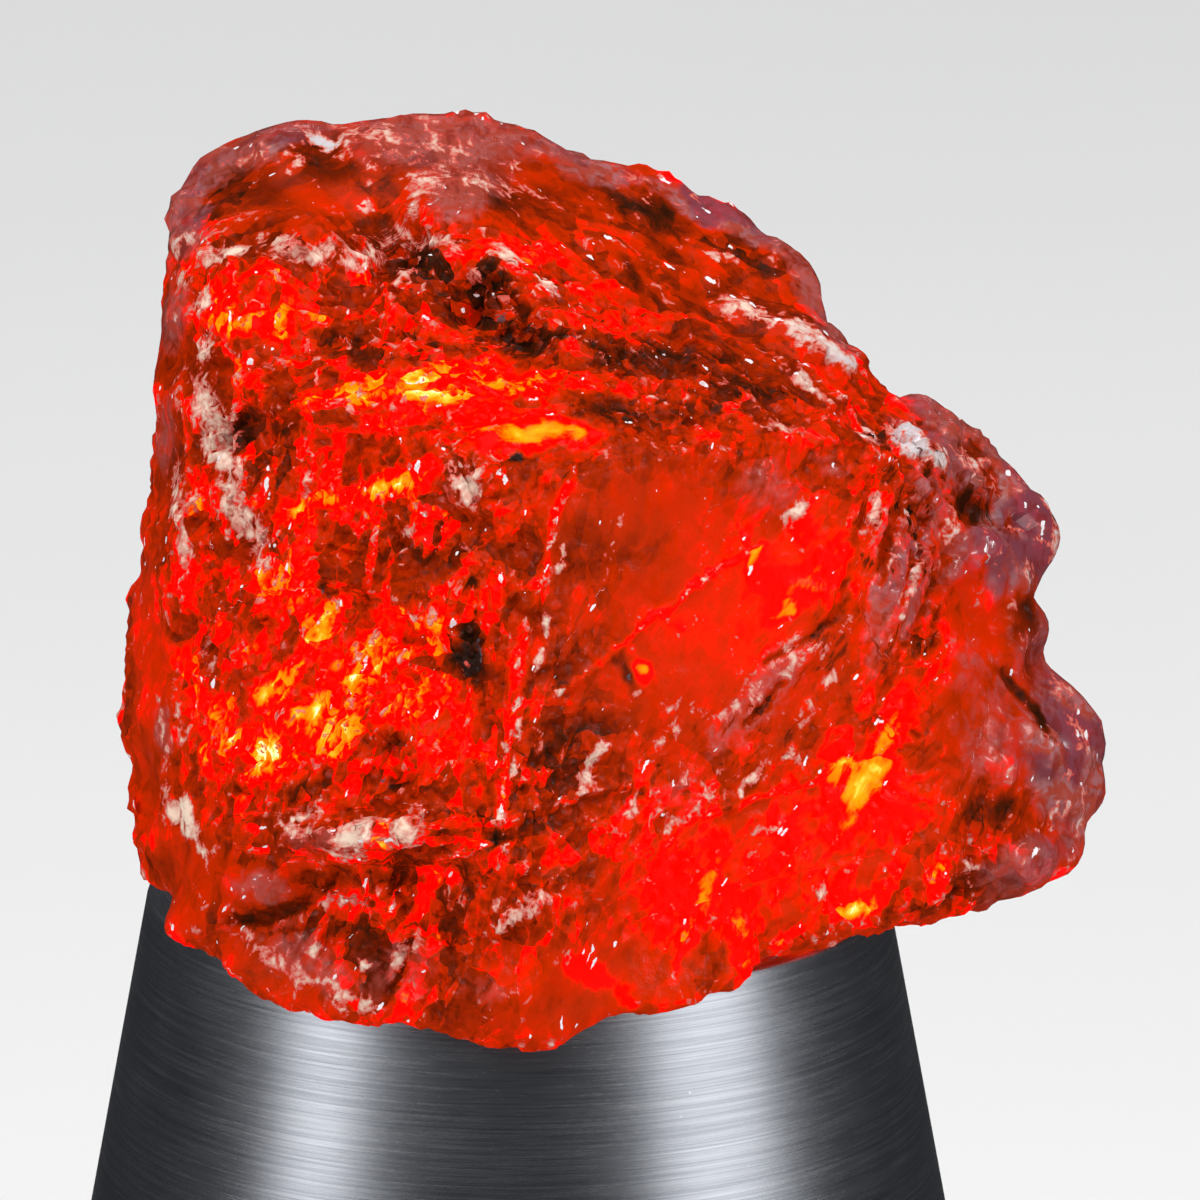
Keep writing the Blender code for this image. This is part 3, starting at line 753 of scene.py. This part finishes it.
def cleave(mesh, shape, smooth):
    """Breaks the surface into steps whose flats lie along the crystal's cleavage planes."""
    places, facing = coordinates(mesh), blurred(mesh, normals(mesh), ROUNDS["steps"])
    cells = BrokenCells(places, facing, shape.step_cells, SEEDS["steps"])
    directions = crystal_directions()
    likeness = cells.facing @ directions.T
    likeness += cells.random.normal(0, PLANE_SCATTER, likeness.shape)
    planes = directions[likeness.argmax(axis=1)]
    step = (0.5 + cells.random.random(len(planes))) * shape.step_height
    phase = cells.random.random(len(planes))
    index = cells.nearest(places)[:, 0]
    plane, step, phase = planes[index], step[index], phase[index]
    level = np.einsum("ij,ij->i", places, plane) / step + phase
    rise = (np.round(level) - level) * step * np.clip(1 - STEPS_SPARED * smooth, 0, 1)
    return places + plane * rise[:, None]


def facet(mesh, places, shape, smooth):
    """Flat facets with crisp ridges between them."""
    facing = blurred(mesh, normals(mesh), ROUNDS["facets"])
    cells = BrokenCells(places, facing, shape.facet_cells, SEEDS["facets"])
    planes = cells.tilt(FACET_LEAN)
    index = cells.nearest(places, how_many=3)
    middles, plane = cells.middles[index], planes[index]
    drop = np.einsum("nki,nki->nk", middles - places[:, None], plane)
    lean = np.clip(np.einsum("ni,nki->nk", facing, plane), LEAST_FACING, 1)
    height = np.clip((drop / lean).min(axis=1), -shape.facet_depth, shape.facet_depth)
    return places + facing * (height * (1 - FACETS_SPARED * smooth))[:, None]


def crumble(mesh, places, shape, smooth):
    """Small crumbs, each at its own height."""
    facing = blurred(mesh, normals(mesh), ROUNDS["crumbs"])
    cells = BrokenCells(places, facing, shape.crumb_cells, SEEDS["crumbs"])
    planes = cells.tilt(CRUMB_LEAN)
    index = cells.nearest(places)[:, 0]
    drop = np.einsum("ij,ij->i", cells.middles[index] - places, planes[index])
    height = drop + (cells.tone[index] - 0.5) * shape.crumb_height
    height = np.clip(height, -shape.crumb_height, shape.crumb_height)
    return places + facing * (height * (1 - FACETS_SPARED * smooth))[:, None]


def round_off(mesh, places, shape):
    """Rounded knobs where the stone is lumpy."""
    seen = to_view(places)
    knobby = patches(seen, KNOBS) * ease(-seen[2], *KNOBS_FADE)
    facing = blurred(mesh, normals(mesh), ROUNDS["knobs"])
    cells = BrokenCells(places, facing, shape.knob_cells, SEEDS["knobs"])
    middles = cells.middles[cells.nearest(places)[:, 0]]
    distance = np.linalg.norm(places - middles, axis=1) / shape.knob_reach
    height = np.clip(1 - distance**2, -1, 1) * shape.knob_height
    return places + facing * (height * knobby)[:, None]


def rest_on_stand(places, shape):
    """The underside stays flat over the stand's top, just clear of it."""
    over = np.hypot(places[:, 0], places[:, 1]) < shape.seat_radius
    floor = STAND_TOP + shape.seat_gap
    places[:, 2] = np.where(over, np.maximum(places[:, 2], floor), places[:, 2])
    return places


def surface_layers(mesh):
    """What the paint needs to know of each point: the patches, the edges and the hollows."""
    places = coordinates(mesh)
    seen = to_view(places)
    pushed = ragged(seen)
    front = ease(blurred(mesh, normals(mesh), ROUNDS["front"]) @ TOWARDS_VIEWER, *FRONT_FADE)
    for name, spots in PATCHES.items():
        add_layer(mesh, name, patches(pushed, spots) * front)
    add_layer(mesh, "front", front)
    add_layer(mesh, "seam", seams(pushed)[1] * front)
    add_layer(mesh, "drift", cloudy(seen, scale=0.33, octaves=2))
    add_layer(mesh, "wisps", cloudy(pushed, scale=0.9, octaves=4))
    grain = mesh.attributes.new("grain", "FLOAT_VECTOR", "POINT")
    grain.data.foreach_set("vector", along_grain(seen).astype(np.float32).ravel())
    facing = blurred(mesh, normals(mesh), ROUNDS["relief"])
    for name, rounds, full in RELIEFS:
        height = np.einsum("ij,ij->i", places - blurred(mesh, places, rounds), facing) / MM
        add_layer(mesh, name, np.clip(height / full, -1, 1) * 0.5 + 0.5)


class Value:
    """A socket in a material. Sums on it add Math nodes."""

    def __init__(self, paint, socket):
        self.paint = paint
        self.socket = socket

    def __add__(self, other):
        return self.paint.maths("ADD", self, other)

    def __radd__(self, other):
        return self.paint.maths("ADD", other, self)

    def __sub__(self, other):
        return self.paint.maths("SUBTRACT", self, other)

    def __rsub__(self, other):
        return self.paint.maths("SUBTRACT", other, self)

    def __mul__(self, other):
        return self.paint.maths("MULTIPLY", self, other)

    def __rmul__(self, other):
        return self.paint.maths("MULTIPLY", other, self)

    def swing(self, weight):
        """How far it lies from a half, up or down, times a weight."""
        return (self - 0.5) * weight

    def between(self, low, high):
        """0 below low and 1 above high."""
        smooth = {"interpolation_type": "SMOOTHSTEP"}
        return self.paint.node("MapRange", smooth, self, low, high, 0.0, 1.0)

    def clipped(self):
        return self.paint.node("Clamp", {}, self, 0.0, 1.0)

    def also(self, output):
        """Another output of the same node."""
        return Value(self.paint, self.socket.node.outputs[output])


class Paint:
    """A material being mixed, with a Principled shader at its end."""

    def __init__(self, name):
        self.material = bpy.data.materials.new(name)
        self.material.use_nodes = True
        self.tree = self.material.node_tree
        self.shader = self.tree.nodes["Principled BSDF"]
        place = self.node("TexCoord", {}, output="Object")
        self.place = self.node("Mapping", {}, place, Scale=(1 / MM,) * 3)

    def node(self, kind, settings, *values, output=0, **named):
        made = self.tree.nodes.new("ShaderNode" + kind)
        for name, setting in settings.items():
            if name == "stops":
                self.set_stops(made.color_ramp, setting)
            else:
                setattr(made, name, setting)
        for key, value in [*enumerate(values), *named.items()]:
            self.join(made.inputs[key], value)
        return Value(self, made.outputs[output])

    def join(self, socket, value):
        if isinstance(value, Value):
            self.tree.links.new(value.socket, socket)
        elif socket.type == "RGBA":
            socket.default_value = (*value, 1.0)
        else:
            socket.default_value = value

    def set_stops(self, ramp, stops):
        while len(ramp.elements) < len(stops):
            ramp.elements.new(1.0)
        for element, (position, colour) in zip(ramp.elements, stops):
            element.position = position
            element.color = (*colour, 1.0)

    def feed(self, socket, value):
        self.join(self.shader.inputs[socket], value)

    def maths(self, operation, one, other):
        return self.node("Math", {"operation": operation}, one, other)

    def layer(self, name, output="Fac"):
        """One of the values stored on the surface."""
        return self.node("Attribute", {"attribute_name": name}, output=output)

    def cloud(self, scale, detail=4.0, roughness=0.55, distortion=0.0, place=None):
        """Cloudy noise; the scales here and below are per millimetre."""
        look = {"Scale": scale, "Detail": detail, "Roughness": roughness, "Distortion": distortion}
        return self.node("TexNoise", {}, place or self.place, **look)

    def cells(self, scale, place=None):
        """How far each point is from its cell's middle; the cells' colours are another output."""
        return self.node("TexVoronoi", {}, place or self.place, Scale=scale)

    def tones(self, cells):
        """One number for each cell, from its random colour."""
        return self.node("SeparateColor", {}, cells.also("Color"))

    def warped(self, place, scale, reach):
        """The place, pushed about by up to half the reach, for ragged cells."""
        push = self.node("TexNoise", {}, place, Scale=scale, Detail=2.0, output="Color")
        push = self.node("VectorMath", {"operation": "SUBTRACT"}, push, (0.5, 0.5, 0.5))
        push = self.node("VectorMath", {"operation": "SCALE"}, push, Scale=reach)
        return self.node("VectorMath", {"operation": "ADD"}, place, push)

    def stretched(self, scale):
        """The place, stretched for streaks."""
        return self.node("Mapping", {}, self.place, Scale=scale)

    def mixed(self, share, one, other):
        """Two colours mixed; a share of 1 is all the other."""
        made = self.node("Mix", {"data_type": "RGBA"}, share, output=MIX_RESULT)
        for index, colour in zip(MIX_COLOURS, (one, other)):
            self.join(made.socket.node.inputs[index], colour)
        return made

    def ramp(self, value, stops):
        return self.node("ValToRGB", {"stops": stops}, value)

    def bump(self, height, distance, strength):
        return self.node("Bump", {}, Height=height, Distance=distance, Strength=strength)


class StoneMarks:
    """What lies where on the stone: the layers of its surface, and patterns of specks and splinters."""

    def __init__(self, paint):
        for name in (*PATCHES, "front", "seam", "drift", "wisps", "edge", "brow"):
            setattr(self, name, paint.layer(name))
        self.strokes = paint.warped(paint.layer("grain", "Vector"), 1.2, 0.7)
        self.lines = paint.cloud(1.0, detail=3.0, roughness=0.6, place=self.strokes)
        self.flecks = paint.cloud(3.0, detail=2.0, roughness=0.58, distortion=0.9)
        self.grit = paint.cloud(9.0, detail=2.0, roughness=0.6)
        ragged_place = paint.warped(paint.place, 2.2, 0.4)
        self.shard = paint.tones(paint.cells(1.25, ragged_place))
        self.sliver = paint.tones(paint.cells(3.4, ragged_place))
        self.chip = paint.tones(paint.cells(1.25, self.strokes))
        self.flake = paint.cells(1.7, self.strokes)
        self.flake_tone = paint.tones(self.flake)
        self.carry_on_behind()
        self.rough = 1.0 - self.smooth * 0.92
        self.slits = self.streak * (0.5 - self.lines).between(0.09, 0.12)

    def carry_on_behind(self):
        """Behind, where nothing is known of the stone, the patches follow the drift instead."""
        rear = 1.0 - self.front
        self.glow += rear * self.drift.between(0.60, 0.70) * self.wisps.between(0.5, 0.6) * 0.8
        self.red += rear * self.drift.between(0.4, 0.6) * 0.6
        self.mauve += rear * (1.0 - self.drift.between(0.30, 0.50)) * 0.75
        self.shade += rear * self.wisps.between(0.6, 0.7) * 0.7
        self.streak += rear * (1.0 - self.drift.between(0.42, 0.52)) * 0.8


def stone_glow_level(paint, on):
    """How bright the painted glow is at each point, from the painted shade of the dark hollows, at 0, to the
    brightest glow, at 1.
    """
    calm = 1.0 - on.glow.clipped() * 0.4
    even = 1.0 - on.red * 0.4
    glow_level = 0.352 + on.red * 0.17 - on.shade * 0.185 + on.glow * 0.36 + on.seam * 0.16
    glow_level += (on.shard.swing(0.44) + on.sliver.swing(0.2) + on.flecks.swing(0.26)) * on.rough * calm * even
    glow_level += on.chip.swing(0.36) * on.rough * even - on.slits * 0.12
    glow_level += on.wisps.swing(0.1 + on.rough * 0.16) * even * calm
    glow_level += on.lines.swing(0.08 + on.rough * 0.22 + on.glow * 0.4 + on.streak * 0.4)
    # Painted light and shade: brows and edges are painted brighter, hollows darker.
    glow_level += on.brow.swing(0.12) + on.edge.swing(0.06)
    lowest = 0.29 + on.flecks.swing(0.4) - on.shade * 0.22 - on.slits * 0.14
    return paint.maths("MAXIMUM", glow_level, lowest).clipped()


def stone_haze(on):
    """How far dusty skin covers the stone."""
    haze = on.mauve * 1.5 + on.wisps.swing(0.6) + on.flecks.swing(0.8) + on.edge.swing(0.35) - on.slits * 0.8
    haze += on.lines.swing(on.streak * 2.2) - on.shade * 0.6 - (0.0 - on.seam).between(0.2, 0.7) * 0.7 - 0.48
    return haze.between(0.0, 0.9)


def skin_colour(paint, on, colours):
    skin = paint.mixed(on.flecks.between(0.42, 0.6) * (0.35 + on.cool * 0.65), colours.mauve, colours.lilac)
    skin = paint.mixed(on.wisps.between(0.35, 0.6) * on.cool, skin, colours.purple)
    return paint.mixed((0.5 - on.lines).between(0.02, 0.14) * 0.6, skin, colours.dusk)


def stone_bruise_and_highlight(paint, on):
    """How pale the stone turns: with bruises in the pale patches, painted highlights along raised seams, and
    scuffs with painted highlights on its edges.
    """
    frost_and_seam_highlights = on.frost * 0.95 + on.chip.swing(0.35) + on.flecks.swing(2.3) + on.edge.swing(0.3)
    frost_and_seam_highlights += on.grit.swing(0.9) + on.lines.swing(1.5) - 0.52
    frost_and_seam_highlights += on.seam.between(0.3, 0.8) * (on.flecks - 0.4) * 2.2
    scuffs_and_edge_highlights = on.flecks.swing(2.6) + on.edge.swing(1.2) * (1.0 - on.mauve * 0.7) + on.chip.swing(0.5)
    scuffs_and_edge_highlights += -0.72 - on.smooth * 0.22
    return paint.maths("MAXIMUM", frost_and_seam_highlights, scuffs_and_edge_highlights)


def bruise_and_highlight_colour(paint, on, bruise_and_highlight, colours):
    # Pale bruises and painted highlights, bluish where the stone is cool.
    stops = ((0.0, colours.blush), (0.2, colours.rose), (0.5, colours.frost), (0.95, colours.cream))
    bruise_and_highlight_share = paint.ramp(bruise_and_highlight.clipped(), stops)
    return paint.mixed(on.cool * bruise_and_highlight.between(0.3, 0.7) * 0.8, bruise_and_highlight_share, colours.ice)


def stone_soot_and_shade(on):
    """How far grey specks and painted shade fill the darkest hollows."""
    soot_and_shade = on.shade.between(0.5, 1.5) * 0.9 + (on.chip.swing(0.9) + on.flecks.swing(1.4)) * on.rough - 0.72
    return soot_and_shade.between(0.0, 0.1)


def soot_and_shade_colour(paint, on, colours):
    ashen = (on.shard + on.grit - 1.0).between(-0.1, 0.3) * (1.0 - on.shade.between(1.3, 1.5))
    return paint.mixed(ashen, colours.soot_and_shade, colours.ash)


def stone_glint(on):
    """Painted glints: small flakes painted near white as highlights, more of them where the surface faces
    the front.
    """
    reach = (on.flake_tone - 0.76) * 0.8 + on.wisps.swing(0.35) + on.edge.swing(0.2) + on.grit.swing(0.5)
    return (reach - on.flake).between(0.0, 0.04) * (0.35 + on.front * 0.65)


def stone_paint(colours):
    """Resinous red stone with a painted glow, as if lit from inside, painted shade in its hollows, and pale
    bruises with painted highlights and glints.
    """
    paint = Paint("sphalerite")
    on = StoneMarks(paint)
    glow_level, haze, soot_and_shade, glint = stone_glow_level(paint, on), stone_haze(on), stone_soot_and_shade(on), stone_glint(on)
    bruise_and_highlight = stone_bruise_and_highlight(paint, on)
    bruise_and_highlight_share = bruise_and_highlight.between(0.0, 0.10)
    inner = paint.ramp(glow_level, SHADE_TO_GLOW)

    # Base colour: the painted glow and shade, under dusty skin, grey specks with painted shade, pale bruises
    # with painted highlights, and painted glints.
    body = paint.mixed(haze * 0.9, paint.mixed(0.25, inner, BLACK), skin_colour(paint, on, colours))
    body = paint.mixed(soot_and_shade * 0.85, body, soot_and_shade_colour(paint, on, colours))
    body = paint.mixed(bruise_and_highlight_share * 0.92, body, bruise_and_highlight_colour(paint, on, bruise_and_highlight, colours))
    # Painted glints: near-white flakes.
    body = paint.mixed(glint, body, colours.glint)
    paint.feed("Base Color", body)

    # Painted glow: the emission stands in for light shone up through the stone from below, and the skin,
    # specks, bruises and glints cover it.
    bare = (1.0 - haze * 0.9) * (1.0 - soot_and_shade) * (1.0 - bruise_and_highlight_share * 0.95) * (1.0 - glint)
    lit = bare * (0.26 + glow_level.between(0.46, 0.58) * 0.56)
    paint.feed("Emission Color", paint.mixed(lit, BLACK, inner))
    paint.feed("Emission Strength", colours.glow_strength)
    paint.material.cycles.emission_sampling = "NONE"

    paint.feed("Roughness", (0.12 + bruise_and_highlight_share * 0.3 + soot_and_shade * 0.3 + on.flecks * 0.2).clipped())
    paint.feed("Coat Weight", (haze * 0.5 + bruise_and_highlight_share * 0.2).clipped())
    paint.feed("Coat Roughness", colours.coat_roughness)
    paint.feed("Coat IOR", colours.refraction)
    paint.feed("IOR", colours.refraction)
    paint.feed("Specular IOR Level", colours.gloss)
    paint.feed("Normal", paint.bump(on.grit, colours.grit_depth, 0.6))
    return paint.material


def steel_paint(finish):
    """Turned steel, with marks that run round it."""
    paint = Paint("brushed steel")
    rings = paint.cloud(1.0, detail=3.0, place=paint.stretched((0.12, 0.12, 26.0)))
    hairs = paint.cloud(1.0, detail=6.0, roughness=0.7, place=paint.stretched((0.5, 0.5, 16.0)))
    smudges = paint.cloud(0.35)
    pits = 1.0 - paint.cells(1.6).between(0.03, 0.06)
    tone = paint.mixed(rings.between(0.3, 0.7), finish.dark, finish.light)
    paint.feed("Base Color", paint.mixed(pits * 0.6, tone, finish.pits))
    paint.feed("Metallic", 1.0)
    paint.feed("Roughness", (finish.roughness + hairs.swing(0.2) + smudges.swing(0.1)).clipped())
    paint.feed("Anisotropic", finish.brushing)
    paint.feed("Normal", paint.bump(hairs + rings * 0.5, finish.mark_depth, 0.5))
    return paint.material


def floor_paint(studio):
    """A matt floor, very slightly clouded."""
    paint = Paint("pale floor")
    clouded = paint.cloud(0.02, detail=0.0).between(0.3, 0.7) * 0.06
    paint.feed("Base Color", paint.mixed(clouded, studio.floor_colour, studio.floor_cloud))
    paint.feed("Roughness", 0.7)
    return paint.material


def length(name, description, default, precision=5):
    return FloatProperty(
        name=name, description=description, default=default, unit="LENGTH", precision=precision
    )


def amount(name, description, default, low=0.0, high=1.0):
    return FloatProperty(name=name, description=description, default=default, min=low, max=high)


def number(name, description, default, low=1, high=100000):
    return IntProperty(name=name, description=description, default=default, min=low, max=high)


def tint(name, description, *default):
    return FloatVectorProperty(name=name, description=description, default=default, subtype="COLOR")


class StoneShape(bpy.types.PropertyGroup):
    fineness: number("Fineness", "How often the starting sphere is divided", 7, 4, 8)
    front_share: amount("Fine front", "Surface that faces the front by more than this is finer", 0.16, -1.0)
    smoothing: number("Smoothing", "Rounds of smoothing before it is broken", 6, 0, 100)
    merge: length("Merge", "Corners nearer than this are one", 1e-6, 6)
    step_cells: number("Step areas", "Areas with cleavage steps", 420)
    step_height: length("Step height", "Usual height of a cleavage step", 0.26 * MM)
    facet_cells: number("Facets", "Number of small facets", 3600)
    facet_depth: length("Facet depth", "Deepest cut of a facet", 0.11 * MM)
    crumb_cells: number("Crumbs", "Number of crumbs", 16000)
    crumb_height: length("Crumb height", "How high a crumb stands", 0.04 * MM)
    knob_cells: number("Knobs", "Number of rounded knobs", 1500)
    knob_reach: length("Knob reach", "Radius of a knob", 0.45 * MM)
    knob_height: length("Knob height", "How high a knob stands", 0.10 * MM)
    seat_radius: length("Seat radius", "Reach of the flat underside", 8.0 * MM)
    seat_gap: length("Seat gap", "Gap between stone and stand", 0.02 * MM)


class StoneColours(bpy.types.PropertyGroup):
    mauve: tint("Mauve", "Dusty skin", 0.32, 0.052, 0.034)
    lilac: tint("Lilac", "Paler skin", 0.30, 0.13, 0.14)
    purple: tint("Purple", "Bluish skin", 0.14, 0.04, 0.06)
    dusk: tint("Dusk", "Darker skin", 0.14, 0.012, 0.008)
    # Colours of the pale bruises and painted highlights, from their rim to their palest.
    blush: tint("Blush", "Rim of a bruise", 0.60, 0.03, 0.02)
    rose: tint("Rose", "Light bruise", 0.58, 0.12, 0.09)
    frost: tint("Frost", "Bruise", 0.66, 0.38, 0.30)
    ice: tint("Ice", "Bluish bruise", 0.50, 0.54, 0.62)
    cream: tint("Cream", "Heavy bruise", 0.82, 0.66, 0.52)
    # Grey specks, and painted shade in the darkest hollows.
    soot_and_shade: tint("Soot", "Grey specks", 0.025, 0.012, 0.009)
    ash: tint("Ash", "Paler grey specks", 0.09, 0.085, 0.10)
    # Colour of the painted glints.
    glint: tint("Glint", "Bright flakes", 0.78, 0.72, 0.74)
    # Strength of the painted glow, which stands in for light shone up through the stone.
    glow_strength: amount("Glow", "Strength of the light from inside", 1.0, high=10.0)
    refraction: amount("Refraction", "Index of refraction of the surface", 1.45, 1.0, 4.0)
    gloss: amount("Gloss", "Strength of the resinous gloss", 0.03)
    coat_roughness: amount("Coat roughness", "Roughness of the gloss over dust and bruises", 0.16)
    grit_depth: length("Grit depth", "Depth of the finest grain", 0.02 * MM)


class StandFinish(bpy.types.PropertyGroup):
    sides: number("Sides", "Flats round the stand", 288, 12, 2000)
    rim: length("Rim", "Width of the chamfers", 0.3 * MM)
    dark: tint("Dark steel", "Darker turning marks", 0.42, 0.44, 0.49)
    light: tint("Light steel", "Lighter turning marks", 0.60, 0.62, 0.67)
    pits: tint("Pits", "Tiny bright pits", 0.85, 0.85, 0.85)
    roughness: amount("Roughness", "Roughness of the steel", 0.26)
    brushing: amount("Brushing", "How far the marks draw out the light", 0.7)
    mark_depth: length("Mark depth", "Depth of the brush marks", 0.004 * MM, 6)


class Studio(bpy.types.PropertyGroup):
    camera_distance: length("Camera distance", "Camera to stone", 0.30, 2)
    floor_size: length("Floor", "Length of the floor's sides", 4.0, 2)
    floor_colour: tint("Floor colour", "Pale floor", 0.78, 0.78, 0.78)
    floor_cloud: tint("Floor clouds", "Faint darker clouds on the floor", 0.6, 0.6, 0.6)
    sky: amount("Room light", "Strength of the even light", 0.03)
    sky_colour: tint("Room light's colour", "Colour of the even light", 0.9, 0.95, 1.0)


class SPHALERITE_OT_stone(bpy.types.Operator):
    """Break the stone's surface and paint it"""

    bl_idname = "sphalerite.stone"
    bl_label = "Stone"

    def execute(self, context):
        shape, colours = context.scene.stone_shape, context.scene.stone_colours
        mesh = fine_copy(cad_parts["sphalerite"], shape)
        seen = to_view(coordinates(mesh))
        smooth = np.maximum(patches(seen, SMOOTHS), SMOOTH_BEHIND * (1 - ease(-seen[2], *SMOOTH_FADE)))
        place_vertices(mesh, cleave(mesh, shape, smooth))
        places = facet(mesh, coordinates(mesh), shape, smooth)
        facing = normals(mesh)
        seen = to_view(places)
        raised = (seams(seen)[0] + lump_height(seen)) * ease(-seen[2], *LUMPS_FADE)
        places += facing * (raised * MM)[:, None]
        place_vertices(mesh, places)
        places = crumble(mesh, places, shape, smooth)
        place_vertices(mesh, places)
        place_vertices(mesh, rest_on_stand(round_off(mesh, places, shape), shape))
        surface_layers(mesh)
        piece = bpy.data.objects.new("sphalerite_stone", mesh)
        finish_piece(piece, "sphalerite")
        piece.data.shade_smooth()
        piece.data.set_sharp_from_angle(angle=CREASE)
        piece.data.materials.clear()
        piece.data.materials.append(stone_paint(colours))
        return {"FINISHED"}


class SPHALERITE_OT_stand(bpy.types.Operator):
    """Turn the steel stand"""

    bl_idname = "sphalerite.stand"
    bl_label = "Stand"

    def execute(self, context):
        finish = context.scene.stand_finish
        foot_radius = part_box("stand")[1].x
        under_top = STAND_TOP - 1.5 * finish.rim
        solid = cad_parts["stand"].data.vertices
        top_radius = max(corner.co.xy.length for corner in solid if corner.co.z > under_top)
        outline = [
            (0.0, STAND_TOP),
            (top_radius - finish.rim, STAND_TOP),
            (top_radius, STAND_TOP - finish.rim),
            (foot_radius, finish.rim),
            (foot_radius - finish.rim, 0.0),
            (0.0, 0.0),
        ]
        bm = bmesh.new()
        corners = [bm.verts.new((radius, 0.0, height)) for radius, height in outline]
        for pair in zip(corners, corners[1:]):
            bm.edges.new(pair)
        bmesh.ops.bevel(
            bm, geom=corners[1:-1], affect="VERTICES", offset=finish.rim * ROUNDING,
            segments=3, profile=0.5, material=-1,
        )
        bmesh.ops.spin(
            bm, geom=bm.verts[:] + bm.edges[:], cent=(0, 0, 0), axis=(0, 0, 1), angle=math.tau,
            steps=finish.sides, use_merge=True,
        )
        bmesh.ops.remove_doubles(bm, verts=bm.verts, dist=0.001 * MM)
        bmesh.ops.recalc_face_normals(bm, faces=bm.faces)
        mesh = bpy.data.meshes.new("steel_stand")
        bm.to_mesh(mesh)
        bm.free()
        mesh.shade_smooth()
        mesh.materials.append(steel_paint(finish))
        piece = bpy.data.objects.new("steel_stand", mesh)
        finish_piece(piece, "stand")
        return {"FINISHED"}


STONE_MIDDLE = from_view(*FRAME_MIDDLE, HEART[2])
ON_STONE = (0.0, 0.0, STONE_MIDDLE.z)
ON_FLOOR_BEHIND = (0.0, 0.35, 0.0)

# Each light's name, place, width, height and power in watts, and the place that it points at.
SOFTBOXES = (
    ("left_softbox", (-0.21, -0.135, 0.09), 0.10, 0.22, 0.12, ON_STONE),
    ("right_softbox", (0.21, -0.135, 0.09), 0.16, 0.22, 0.17, ON_STONE),
    ("top_softbox", (0.0, -0.10, 0.36), 0.30, 0.30, 1.1, ON_STONE),
    ("floor_light", (0.0, 0.60, 0.45), 0.5, 0.5, 2.6, ON_FLOOR_BEHIND),
    ("sparkle", (-0.17, -0.16, 0.14), 0.05, 0.05, 0.2, ON_STONE),
    ("right_sparkle", (0.20, -0.12, 0.16), 0.05, 0.05, 0.2, ON_STONE),
)


def add_softbox(name, place, width, height, power, target):
    lamp = bpy.data.lights.new(name, "AREA")
    lamp.shape = "RECTANGLE"
    lamp.size = width
    lamp.size_y = height
    lamp.energy = power
    softbox = bpy.data.objects.new(name, lamp)
    softbox.location = place
    softbox.rotation_euler = (Vector(target) - softbox.location).to_track_quat("-Z", "Y").to_euler()
    bpy.context.scene.collection.objects.link(softbox)
    return softbox


class SPHALERITE_OT_stage(bpy.types.Operator):
    """Set up the floor, the soft lights and the camera"""

    bl_idname = "sphalerite.stage"
    bl_label = "Stage"

    def execute(self, context):
        studio = context.scene.sphalerite_studio
        bm = bmesh.new()
        bmesh.ops.create_grid(bm, x_segments=1, y_segments=1, size=studio.floor_size / 2)
        mesh = bpy.data.meshes.new("floor")
        bm.to_mesh(mesh)
        bm.free()
        mesh.materials.append(floor_paint(studio))
        floor = bpy.data.objects.new("floor", mesh)
        context.scene.collection.objects.link(floor)
        floor.visible_glossy = False

        world = bpy.data.worlds.new("room")
        world.use_nodes = True
        backdrop = world.node_tree.nodes["Background"]
        backdrop.inputs["Color"].default_value = (*studio.sky_colour, 1.0)
        backdrop.inputs["Strength"].default_value = studio.sky
        context.scene.world = world

        lights = [add_softbox(*softbox) for softbox in SOFTBOXES]
        for light in lights:
            # Neither the floor nor its light shows in the steel, which keeps its dark bands.
            light.visible_glossy = light.name != "floor_light"

        lens = bpy.data.cameras.new("camera")
        lens.lens = lens.sensor_width * studio.camera_distance / (FRAME_WIDTH * MM)
        lens.clip_start = 0.01
        lens.clip_end = 20.0
        camera = bpy.data.objects.new("camera", lens)
        camera.location = STONE_MIDDLE + Vector(TOWARDS_VIEWER) * studio.camera_distance
        camera.rotation_euler = (math.radians(90) - VIEW_TILT, 0.0, 0.0)
        context.scene.collection.objects.link(camera)
        context.scene.camera = camera
        context.scene.view_settings.view_transform = "Standard"
        return {"FINISHED"}


class SPHALERITE_PT_panel(bpy.types.Panel):
    """Lists the pieces and what can be changed in them"""

    bl_label = "Sphalerite"
    bl_idname = "SPHALERITE_PT_panel"
    bl_space_type = "VIEW_3D"
    bl_region_type = "UI"
    bl_category = "Sphalerite"

    def draw(self, context):
        for operator, names in (
            ("sphalerite.stone", ("stone_shape", "stone_colours")),
            ("sphalerite.stand", ("stand_finish",)),
            ("sphalerite.stage", ("sphalerite_studio",)),
        ):
            column = self.layout.column()
            column.operator(operator)
            for name in names:
                group = getattr(context.scene, name)
                for setting in group.__annotations__:
                    column.prop(group, setting)


CLASSES = (
    StoneShape,
    StoneColours,
    StandFinish,
    Studio,
    SPHALERITE_OT_stone,
    SPHALERITE_OT_stand,
    SPHALERITE_OT_stage,
    SPHALERITE_PT_panel,
)
GROUPS = {
    "stone_shape": StoneShape,
    "stone_colours": StoneColours,
    "stand_finish": StandFinish,
    "sphalerite_studio": Studio,
}


def register():
    for one in CLASSES:
        bpy.utils.register_class(one)
    for name, group in GROUPS.items():
        setattr(bpy.types.Scene, name, PointerProperty(type=group))


def unregister():
    for name in GROUPS:
        delattr(bpy.types.Scene, name)
    for one in reversed(CLASSES):
        bpy.utils.unregister_class(one)


def main():
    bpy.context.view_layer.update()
    register()
    bpy.ops.sphalerite.stone()
    bpy.ops.sphalerite.stand()
    bpy.ops.sphalerite.stage()


if __name__ == "__main__":
    main()
